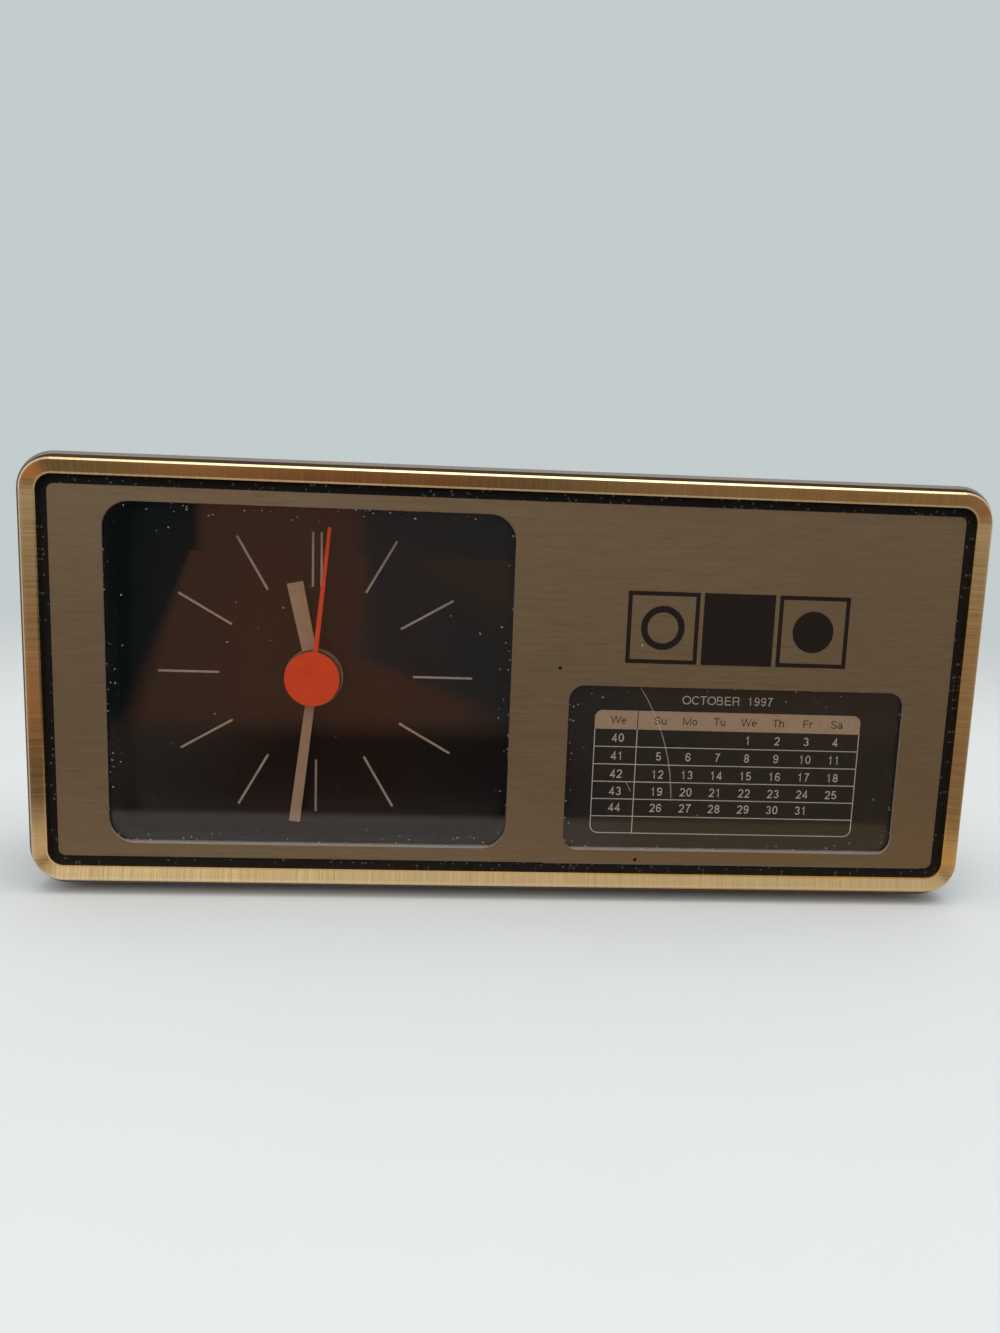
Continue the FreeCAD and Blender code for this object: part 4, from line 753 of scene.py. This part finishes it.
class Growth(Graph):
    """A geometry node tree with named inputs, applied to a piece once and then taken off it."""

    def __init__(self, name, inputs):
        super().__init__(bpy.data.node_groups.new(name, "GeometryNodeTree"))
        face = self.tree.interface
        face.new_socket("Geometry", in_out="INPUT", socket_type="NodeSocketGeometry")
        face.new_socket("Geometry", in_out="OUTPUT", socket_type="NodeSocketGeometry")
        self.inputs = inputs
        self.keys = {}
        for label, given in inputs.items():
            kind = {int: "Int", float: "Float"}.get(type(given), "Object")
            socket = face.new_socket(label, in_out="INPUT", socket_type=f"NodeSocket{kind}")
            self.keys[label] = socket.identifier
        self.entry = self.tree.nodes.new("NodeGroupInput")

    def given(self, label):
        """The value of a named input."""
        return Value(self, self.entry.outputs[label])

    def close(self, geometry, material):
        """Gives the geometry its material and ends the tree with it."""
        whole = self.node("GeometryNodeRealizeInstances", sockets={0: geometry})
        coloured = self.node("GeometryNodeSetMaterial", sockets={"Geometry": whole, "Material": material})
        end = self.tree.nodes.new("NodeGroupOutput")
        self.tree.links.new(coloured.socket, end.inputs[0])

    def grow(self, mesh):
        """The plain mesh that the tree makes of a mesh."""
        holder = add_object(self.tree.name, mesh)
        modifier = holder.modifiers.new(self.tree.name, "NODES")
        modifier.node_group = self.tree
        for label, given in self.inputs.items():
            modifier[self.keys[label]] = given
        grown = worked_out(holder)
        bpy.data.objects.remove(holder)
        return grown


def ruled_lines(width, line, thick, count, pitch, material):
    """Level bars one below the other, the first of them round the origin."""
    tree = Growth("ruled_lines", {"Width": width, "Line": line, "Ink": thick, "Count": count,
                                  "Pitch": pitch})
    size = tree.node("ShaderNodeCombineXYZ", sockets={
        0: tree.given("Width"), 1: tree.given("Ink"), 2: tree.given("Line")})
    bar = tree.node("GeometryNodeMeshCube", sockets={"Size": size})
    step = tree.node("ShaderNodeCombineXYZ", sockets={2: tree.given("Pitch") * -1.0})
    rows = tree.node("GeometryNodeMeshLine", {"mode": "OFFSET"}, {
        "Count": tree.given("Count"), "Offset": step})
    tree.close(tree.node("GeometryNodeInstanceOnPoints", sockets={"Points": rows, "Instance": bar}),
               material)
    return tree.grow(bpy.data.meshes.new("ruled_lines"))


def on_points(name, pattern, places, material):
    """Copies of one object at the given places."""
    tree = Growth(name, {"Pattern": pattern})
    source = tree.node("GeometryNodeObjectInfo", {"transform_space": "ORIGINAL"}, {
        "Object": tree.given("Pattern")}, output="Geometry")
    points = tree.node("GeometryNodeMeshToPoints", sockets={"Mesh": Value(tree, tree.entry.outputs[0])})
    tree.close(tree.node("GeometryNodeInstanceOnPoints", sockets={"Points": points, "Instance": source}),
               material)
    mesh = bpy.data.meshes.new(name)
    mesh.from_pydata(places, [], [])
    grown = tree.grow(mesh)
    bpy.data.objects.remove(pattern)
    return grown


# ---- Operators ----

class FinishCase(Operator):
    """Finish the moulded case"""
    bl_idname = "desk_clock.finish_case"
    bl_label = "Case"

    def execute(self, context):
        look = context.scene.desk_clock_case
        dress("front_frame", case_front("case_front_plastic", look.plastic, look.hollow))
        dress("rear_case", moulded("case_back_plastic", look.plastic, dust_and_top_light=0.5))
        return {"FINISHED"}


class MakeFeet(Operator):
    """Make the rubber feet with rounded edges"""
    bl_idname = "desk_clock.make_feet"
    bl_label = "Feet"

    def execute(self, context):
        look = context.scene.desk_clock_case
        material = rubbery("foot_rubber", look.rubber)
        dress("rubber_feet", material)
        shape = bmesh.new()
        shape.from_mesh(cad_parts["rubber_feet"].data)
        bmesh.ops.remove_doubles(shape, verts=shape.verts, dist=1e-6)
        bmesh.ops.dissolve_limit(shape, angle_limit=math.radians(1), verts=shape.verts, edges=shape.edges)
        lowest = min(vertex.co.z for vertex in shape.verts)
        soles = [edge for edge in shape.edges
                 if any(vertex.co.z < lowest + 1e-5 for vertex in edge.verts)]
        bmesh.ops.bevel(shape, geom=soles, offset=look.foot_round, segments=4, profile=0.5,
                        affect="EDGES")
        new_piece("foot_pads", finish_mesh("foot_pads", shape, material, 40), "case", "rubber_black",
                  "rubber_feet")
        return {"FINISHED"}


class MakeScrews(Operator):
    """Make the case screws with cross-slotted pan heads and threads"""
    bl_idname = "desk_clock.make_screws"
    bl_label = "Case screws"

    def execute(self, context):
        material = drawn_metal("screw_zinc", (0.50, 0.49, 0.46), 0.34, (1.0, 1.0, 1.0), 0.0004)
        low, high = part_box("case_screws")
        head, crest, root, shank, tip = 0.0028, 0.0015, 0.00118, 0.0013, 0.0009
        pitch, flank = 0.0009, 0.00055
        slot_long, slot_wide, slot_deep, slot_above = 0.0030, 0.0006, 0.0013, 0.0010
        centre_x, centre_z = high.x - head, (low.z + high.z) / 2
        head_high, point, plain_end, land = 0.0022, 0.0008, 0.0012, 0.0001
        neck = high.y - head_high
        depth = low.y + plain_end
        profile = [(0.0, low.y), (tip, low.y), (shank, low.y + point)]
        while depth < neck - plain_end:
            profile += [(crest, depth), (crest, depth + land), (root, depth + flank)]
            depth += pitch
        profile += [(shank, neck - land), (shank, neck), (head, neck), (head, neck + 0.0010),
                    (head - 0.0002, neck + 0.0016), (head - 0.0007, neck + 0.0020), (0.0, high.y)]
        shape = bmesh.new()
        lathe(shape, profile, 36)
        pattern = add_object("screw_pattern", finish_mesh("screw_pattern", shape, material, 35))
        for wide, tall in ((slot_long, slot_wide), (slot_wide, slot_long)):
            cut(pattern, box_outline(-wide / 2, wide / 2, -tall / 2, tall / 2), high.y - slot_deep,
                high.y + slot_above)
        mesh = on_points("case_screw_set", pattern, [(side * centre_x, 0.0, centre_z) for side in (-1, 1)],
                         material)
        new_piece("case_screw_set", mesh, "case", "screw_steel", "case_screws")
        return {"FINISHED"}


def lathe(shape, profile, count):
    """A solid turned about the y axis from a profile of radius and depth."""
    rings = []
    for radius, depth in profile:
        around = circle(radius, 0.0, 0.0, count) if radius else [(0.0, 0.0)]
        rings.append([shape.verts.new((x, depth, z)) for x, z in around])
    for first, second in zip(rings, rings[1:]):
        for index in range(count):
            following = (index + 1) % count
            corners = [first[index % len(first)], first[following % len(first)],
                       second[following % len(second)], second[index % len(second)]]
            shape.faces.new(list(dict.fromkeys(corners)))


def cut(target, outline, front, back):
    """Cuts a prism out of an object's mesh."""
    shape = bmesh.new()
    add_prism(shape, outline, front, back)
    tool = add_object("cutter", finish_mesh("cutter", shape, target.data.materials[0]))
    modifier = target.modifiers.new("cut", "BOOLEAN")
    modifier.operation = "DIFFERENCE"
    modifier.solver = "EXACT"
    modifier.object = tool
    target.data = worked_out(target)
    bpy.data.objects.remove(tool)


class FinishFace(Operator):
    """Finish the bezel, the face plate and the two clear panes"""
    bl_idname = "desk_clock.finish_face"
    bl_label = "Bezel, plate and panes"

    def execute(self, context):
        look = context.scene.desk_clock_face
        dress("bezel_ring", anodised_gold("bezel_gold", look.gold))
        dress("face_plate", brushed_bronze("plate_bronze", look.bronze))
        dress("dial_lens", clear_pane("dial_pane", DIAL_WINDOW))
        dress("calendar_lens", clear_pane("calendar_pane", MONTH_WINDOW, SCRATCHES))
        return {"FINISHED"}


class PrintSquares(Operator):
    """Print the three squares on the face plate"""
    bl_idname = "desk_clock.print_squares"
    bl_label = "Printed squares"

    def execute(self, context):
        look = context.scene.desk_clock_face
        material = printed("plate_ink", look.ink)
        low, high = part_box("face_plate")
        ink_thick = 0.00002
        front, back = low.y - ink_thick, low.y
        left, bottom = 0.0213, (low.z + high.z) / 2 + 0.0051
        side, line = look.square, look.square_line
        ring_radius, ring_line, disc_radius = side * 0.26, side * 0.09, side * 0.29
        first, second, third = [left + look.square_pitch * index for index in range(3)]
        shape = bmesh.new()
        for edge in (first, third):
            outline = box_outline(edge + line / 2, edge + side - line / 2, bottom + line / 2,
                                  bottom + side - line / 2)
            add_stroke(shape, outline + outline[:1], line, front, back)
        add_prism(shape, box_outline(second, second + side, bottom, bottom + side), front, back)
        centre = bottom + side / 2
        ring = circle(ring_radius, first + side / 2, centre, 64)
        add_stroke(shape, ring + ring[:1], ring_line, front, back)
        add_prism(shape, circle(disc_radius, third + side / 2, centre), front, back)
        new_piece("plate_print", finish_mesh("plate_print", shape, material), "case", "plate_bronze")
        return {"FINISHED"}


class FinishDial(Operator):
    """Finish the dial, its hour bars and the hands"""
    bl_idname = "desk_clock.finish_dial"
    bl_label = "Dial and hands"

    def execute(self, context):
        look = context.scene.desk_clock_dial
        dress("dial_plate", dial_lacquer("dial_lacquer", look.lacquer))
        dress("hour_markers", painted("bar_enamel", look.marker))
        hand = hand_enamel("hand_enamel", look.hand)
        dress("hour_hand", hand)
        dress("minute_hand", hand)
        signal = painted("signal_enamel", look.signal, 0.2)
        dress("second_hand", signal)
        dress("second_cap", signal)
        return {"FINISHED"}


class PrintCalendar(Operator):
    """Print a month on the card behind the calendar window"""
    bl_idname = "desk_clock.print_calendar"
    bl_label = "Month card"

    def execute(self, context):
        look = context.scene.desk_clock_calendar
        card = card_stock("card_stock", look.card)
        dress("calendar_card", card)
        dress("spare_cards", card)
        ink = printed("figure_ink", look.figure)
        heading = printed("heading_ink", look.band)
        reverse = printed("reverse_ink", look.card)
        low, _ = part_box("calendar_card")
        back = low.y
        front = back - look.ink_thick
        words_front = front - look.ink_thick
        plate_low, plate_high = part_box("face_plate")
        centre_z = (plate_low.z + plate_high.z) / 2

        left, right, corner = 0.0163, 0.0690, 0.0015
        top, band_foot, bottom = centre_z - 0.0044, centre_z - 0.0081, centre_z - 0.0291
        title_x, title_foot = 0.0422, centre_z - 0.0029
        rows = [centre_z - down for down in (0.0116, 0.0152, 0.0188, 0.0223, 0.0256)]
        row_middle = 0.0018
        week_x, divide = 0.0210, 0.0247
        columns = [0.0292 + 0.00585 * index for index in range(7)]
        line, height = look.rule, look.figure_height

        shape = bmesh.new()
        arch, _ = rounded(left, right, band_foot, top, corner)
        add_prism(shape, arch + [(left, band_foot), (right, band_foot)], front, back)
        print_on_card("calendar_band", shape, heading)

        shape = bmesh.new()
        small = height * 0.92
        for words, x in zip(("We", "Su", "Mo", "Tu", "We", "Th", "Fr", "Sa"), [week_x] + columns):
            add_words(shape, words, x, (top + band_foot) / 2 - small / 2, small, words_front, front)
        add_stroke(shape, [(divide, band_foot), (divide, top)], line, words_front, front)
        print_on_card("calendar_heading", shape, reverse)

        shape = bmesh.new()
        add_words(shape, look.title, title_x, title_foot, height, front, back, weight=0.11)
        _, foot = rounded(left + line / 2, right - line / 2, bottom + line / 2, top, corner)
        border = [(left + line / 2, band_foot)] + foot + [(right - line / 2, band_foot)]
        add_stroke(shape, border, line, front, back)
        add_stroke(shape, [(divide, bottom + line), (divide, band_foot)], line, front, back)
        # A month that would need a sixth row loses the days that fall on it.
        day = 1
        for row, row_foot in enumerate(rows):
            base = row_foot + row_middle - height / 2
            add_words(shape, str(look.first_week + row), week_x, base, height, front, back)
            for x in (columns[look.first_day:] if row == 0 else columns):
                if day <= look.days:
                    add_words(shape, str(day), x, base, height, front, back)
                    day += 1
        print_on_card("calendar_figures", shape, ink)

        pitch = (rows[0] - rows[-1]) / (len(rows) - 1)
        mesh = ruled_lines(right - left - 2 * line, line, look.ink_thick, len(rows), pitch, ink)
        mesh.transform(Matrix.Translation(((left + right) / 2, (front + back) / 2, rows[0])))
        new_piece("calendar_lines", mesh, "month_card", "card_black")
        return {"FINISHED"}


def print_on_card(name, shape, material):
    """Adds a print that rides on the month card in the window."""
    new_piece(name, finish_mesh(name, shape, material), "month_card", "card_black")


class FinishMovement(Operator):
    """Finish the movement, its wheels and the battery, as seen from behind"""
    bl_idname = "desk_clock.finish_movement"
    bl_label = "Movement"

    def execute(self, context):
        finishes = {
            moulded("movement_plastic", (0.036, 0.035, 0.034), 0.5, 0.0006): (
                "movement_housing", "movement_cover"),
            moulded("knob_plastic", (0.05, 0.048, 0.046), 0.38): ("time_set_knob",),
            natural_acetal("wheel_acetal", (0.76, 0.74, 0.68)): (
                "hour_wheel", "cannon_pinion", "centre_wheel", "motion_wheel", "third_wheel",
                "second_wheel", "relay_wheel", "rotor_pinion"),
            drawn_metal("magnet_ferrite", (0.09, 0.09, 0.10), 0.5, (1.0, 1.0, 1.0), 0.0005): (
                "rotor_magnet",),
            drawn_metal("nut_brass", (0.75, 0.52, 0.22), 0.3): ("fixing_nut",),
            rubbery("washer_rubber", (0.02, 0.02, 0.02)): ("rubber_washer",),
            drawn_metal("stator_iron", (0.42, 0.41, 0.40), 0.4): ("stator", "coil_core"),
            copper_winding("coil_copper", (0.60, 0.24, 0.10)): ("coil",),
            board_laminate("board_laminate", (0.17, 0.08, 0.035)): ("circuit_board",),
            drawn_metal("crystal_can", (0.72, 0.72, 0.70), 0.16): ("quartz_crystal",),
            cell_jacket("cell_jacket", (0.05, 0.055, 0.065)): ("battery",),
            drawn_metal("contact_nickel", (0.70, 0.68, 0.62), 0.2, (1.0, 1.0, 30.0)): (
                "battery_contact_plus", "battery_contact_minus"),
            drawn_metal("spring_steel", (0.5, 0.5, 0.5), 0.25): ("card_spring",),
        }
        for material, nodes in finishes.items():
            for node in nodes:
                dress(node, material)
        return {"FINISHED"}


class MarkMovement(Operator):
    """Print two arrows for the way the knob turns on the back of the movement"""
    bl_idname = "desk_clock.mark_movement"
    bl_label = "Marks on the movement"

    def execute(self, context):
        _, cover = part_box("movement_cover")
        low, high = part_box("time_set_knob")
        x, z = (low.x + high.x) / 2, (low.z + high.z) / 2
        clearance, line, thick = 0.0019, 0.0005, 0.00008
        behind, ahead = 0.55, 0.45
        reach = (high.x - low.x) / 2 + clearance
        shape = bmesh.new()
        for middle in (0.5 * math.pi, 1.5 * math.pi):
            add_arrow(shape, x, z, reach, middle - behind, middle + ahead, line, cover.y, cover.y + thick)
        material = printed("mark_ink", (0.55, 0.54, 0.50))
        new_piece("knob_arrows", finish_mesh("knob_arrows", shape, material), "case", "movement_black")
        return {"FINISHED"}


def add_arrow(shape, x, z, radius, start, end, line, front, back):
    """A bent arrow round a point, its head at the end."""
    add_stroke(shape, arc(x, z, radius, radius, start, end, 14), line, front, back)
    long, half_wide, gap = 2.6 * line, 1.6 * line, 1e-3
    head = [(x + reach * math.cos(turn), z + reach * math.sin(turn)) for reach, turn in (
        (radius + half_wide, end + gap), (radius, end + long / radius), (radius - half_wide, end + gap))]
    add_prism(shape, head, front, back)


class BuildStage(Operator):
    """Set up the floor, the soft light and the camera"""
    bl_idname = "desk_clock.build_stage"
    bl_label = "Stage"

    def execute(self, context):
        studio = context.scene.desk_clock_studio
        reach = studio.floor_reach
        mesh = bpy.data.meshes.new("floor")
        mesh.from_pydata([(-reach, -reach, 0), (reach, -reach, 0), (reach, reach, 0), (-reach, reach, 0)],
                         [], [(0, 1, 2, 3)])
        mesh.materials.append(floor_paint("floor_paint", studio))
        add_object("floor", mesh)

        add_softbox("top_light", (0.05, -0.10, 0.62), width=0.7, height=0.5, watts=studio.key)
        add_softbox("front_light", (-0.35, -0.62, 0.48), width=0.5, height=0.5, watts=studio.fill)

        world = bpy.data.worlds.new("studio")
        world.use_nodes = True
        world.node_tree.nodes.clear()
        light_room(Graph(world.node_tree), studio.backdrop)
        context.scene.world = world

        camera = bpy.data.cameras.new("camera")
        camera.lens = CAMERA_LENS
        camera.sensor_width = 36.0
        camera.clip_start = 0.01
        holder = add_object("camera", camera)
        forward = Vector(CAMERA_LOOKS).normalized()
        side = forward.cross(Vector(CAMERA_UP)).normalized()
        turn = Matrix((side, side.cross(forward), -forward)).transposed().to_4x4()
        holder.matrix_world = Matrix.Translation(CAMERA_PLACE) @ turn
        context.scene.camera = holder
        context.scene.view_settings.view_transform = "Standard"
        return {"FINISHED"}


def floor_paint(name, studio):
    """A pale matt floor that runs into the backdrop far off.

    In polished surfaces only a strip along the clock is pale; the room beyond it is dim and warm.
    """
    finish = Finish(name, Specular_IOR_Level=0.0)
    x, y, _ = finish.axes()
    fine = finish.noise(0.02, detail=2.0)
    finish.drive(Base_Color=finish.shades(fine, studio.floor, 0.99, 1.01),
                 Roughness=finish.level(fine, 0.0, 1.0, 0.85, 0.95))
    far = finish.level((x * x + y * y).root(), 0.25, 0.9)
    backdrop = finish.node("ShaderNodeEmission", sockets={"Color": rgba(studio.backdrop)})
    laid = finish.blend(far * finish.ray("Camera"), finish.shader, backdrop)

    from_left, from_right = x - y * LEFT_LEAN, x - y * RIGHT_LEAN
    reach = finish.level(y, -0.36, -0.22, 0.0, 0.05)
    warmed = finish.level(from_left, -0.085, -0.075) * finish.level(from_right - reach, -0.022, -0.040)
    cool = finish.fade(from_left, -0.02, 0.02, ROOM_LEFT, ROOM_RIGHT)
    cool = finish.fade(from_right, 0.05, 0.12, cool, (0.27, 0.18, 0.12, 1.0))
    aside = finish.fade(abs(x + 0.03), 0.035, 0.075, (0.05, 0.04, 0.035, 1.0), (0.20, 0.15, 0.11, 1.0))
    room = finish.fade(y, -0.19, -0.15, finish.mix(warmed, cool, ROOM_MIDDLE), aside)
    pale = finish.fade(x, 0.0, 0.04, (0.60, 0.53, 0.49, 1.0), (0.52, 0.37, 0.22, 1.0))
    edge, half_soft = -studio.table_edge, 0.003
    seen = finish.fade(y, edge - half_soft, edge + half_soft, room, pale)
    mirrored = finish.node("ShaderNodeEmission", sockets={"Color": seen})
    return finish.show(finish.blend(finish.ray("Glossy"), laid, mirrored))


def light_room(graph, tint):
    """A pale backdrop for the camera, and for the light a room that is bright above and dim in front."""
    x, y, z = graph.split(graph.node("ShaderNodeTexCoord", output="Generated"))
    across = x / (0.0 - y).most(0.01)
    dim = graph.fade(across, -0.276, -0.262, ROOM_LEFT, ROOM_MIDDLE)
    dim = graph.fade(across, -0.110, -0.086, dim, ROOM_RIGHT)
    bright = graph.level(z, 0.02, 0.07).most(graph.level(y, -0.1, 0.5) * 0.8)
    room = graph.mix(bright, dim, (0.74, 0.75, 0.76, 1.0))
    dark_above = graph.level(z, 0.9, 0.3) * graph.level(y, 0.2, -0.2) * bright * 0.4
    room = graph.mix(dark_above, room, (0.30, 0.28, 0.26, 1.0))
    light = graph.node("ShaderNodeBackground", sockets={
        "Color": graph.mix(graph.ray("Camera"), room, rgba(tint)), "Strength": 1.0})
    graph.node("ShaderNodeOutputWorld", sockets={"Surface": light})


def add_softbox(name, place, width, height, watts):
    """A soft lamp that shines on the middle of the clock."""
    lamp = bpy.data.lights.new(name, "AREA")
    lamp.shape = "RECTANGLE"
    lamp.size, lamp.size_y = width, height
    lamp.energy = watts
    holder = add_object(name, lamp)
    holder.location = place
    aim = Vector((0.0, 0.0, 0.04)) - Vector(place)
    holder.rotation_euler = aim.to_track_quat("-Z", "Y").to_euler()


# ---- Panel and registration ----

SETTINGS = {"desk_clock_case": CaseLook, "desk_clock_face": FaceLook, "desk_clock_dial": DialLook,
            "desk_clock_calendar": CalendarLook, "desk_clock_studio": Studio}
STEPS = (FinishCase, MakeFeet, MakeScrews, FinishFace, PrintSquares, FinishDial, PrintCalendar,
         FinishMovement, MarkMovement, BuildStage)


class ClockPanel(Panel):
    """Sizes, colours and steps of the desk clock"""
    bl_idname = "DESKCLOCK_PT_steps"
    bl_label = "Desk Clock"
    bl_space_type = "VIEW_3D"
    bl_region_type = "UI"
    bl_category = "Desk Clock"

    def draw(self, context):
        for name, kind in SETTINGS.items():
            box = self.layout.box()
            for key in kind.__annotations__:
                box.prop(getattr(context.scene, name), key)
        for step in STEPS:
            self.layout.operator(step.bl_idname)


CLASSES = (*SETTINGS.values(), *STEPS, ClockPanel)


def register():
    for kind in CLASSES:
        bpy.utils.register_class(kind)
    for name, kind in SETTINGS.items():
        setattr(bpy.types.Scene, name, PointerProperty(type=kind))


def unregister():
    for name in SETTINGS:
        delattr(bpy.types.Scene, name)
    for kind in reversed(CLASSES):
        bpy.utils.unregister_class(kind)


def main():
    register()
    for step in STEPS:
        group, action = step.bl_idname.split(".")
        getattr(getattr(bpy.ops, group), action)()


if __name__ == "__main__":
    main()
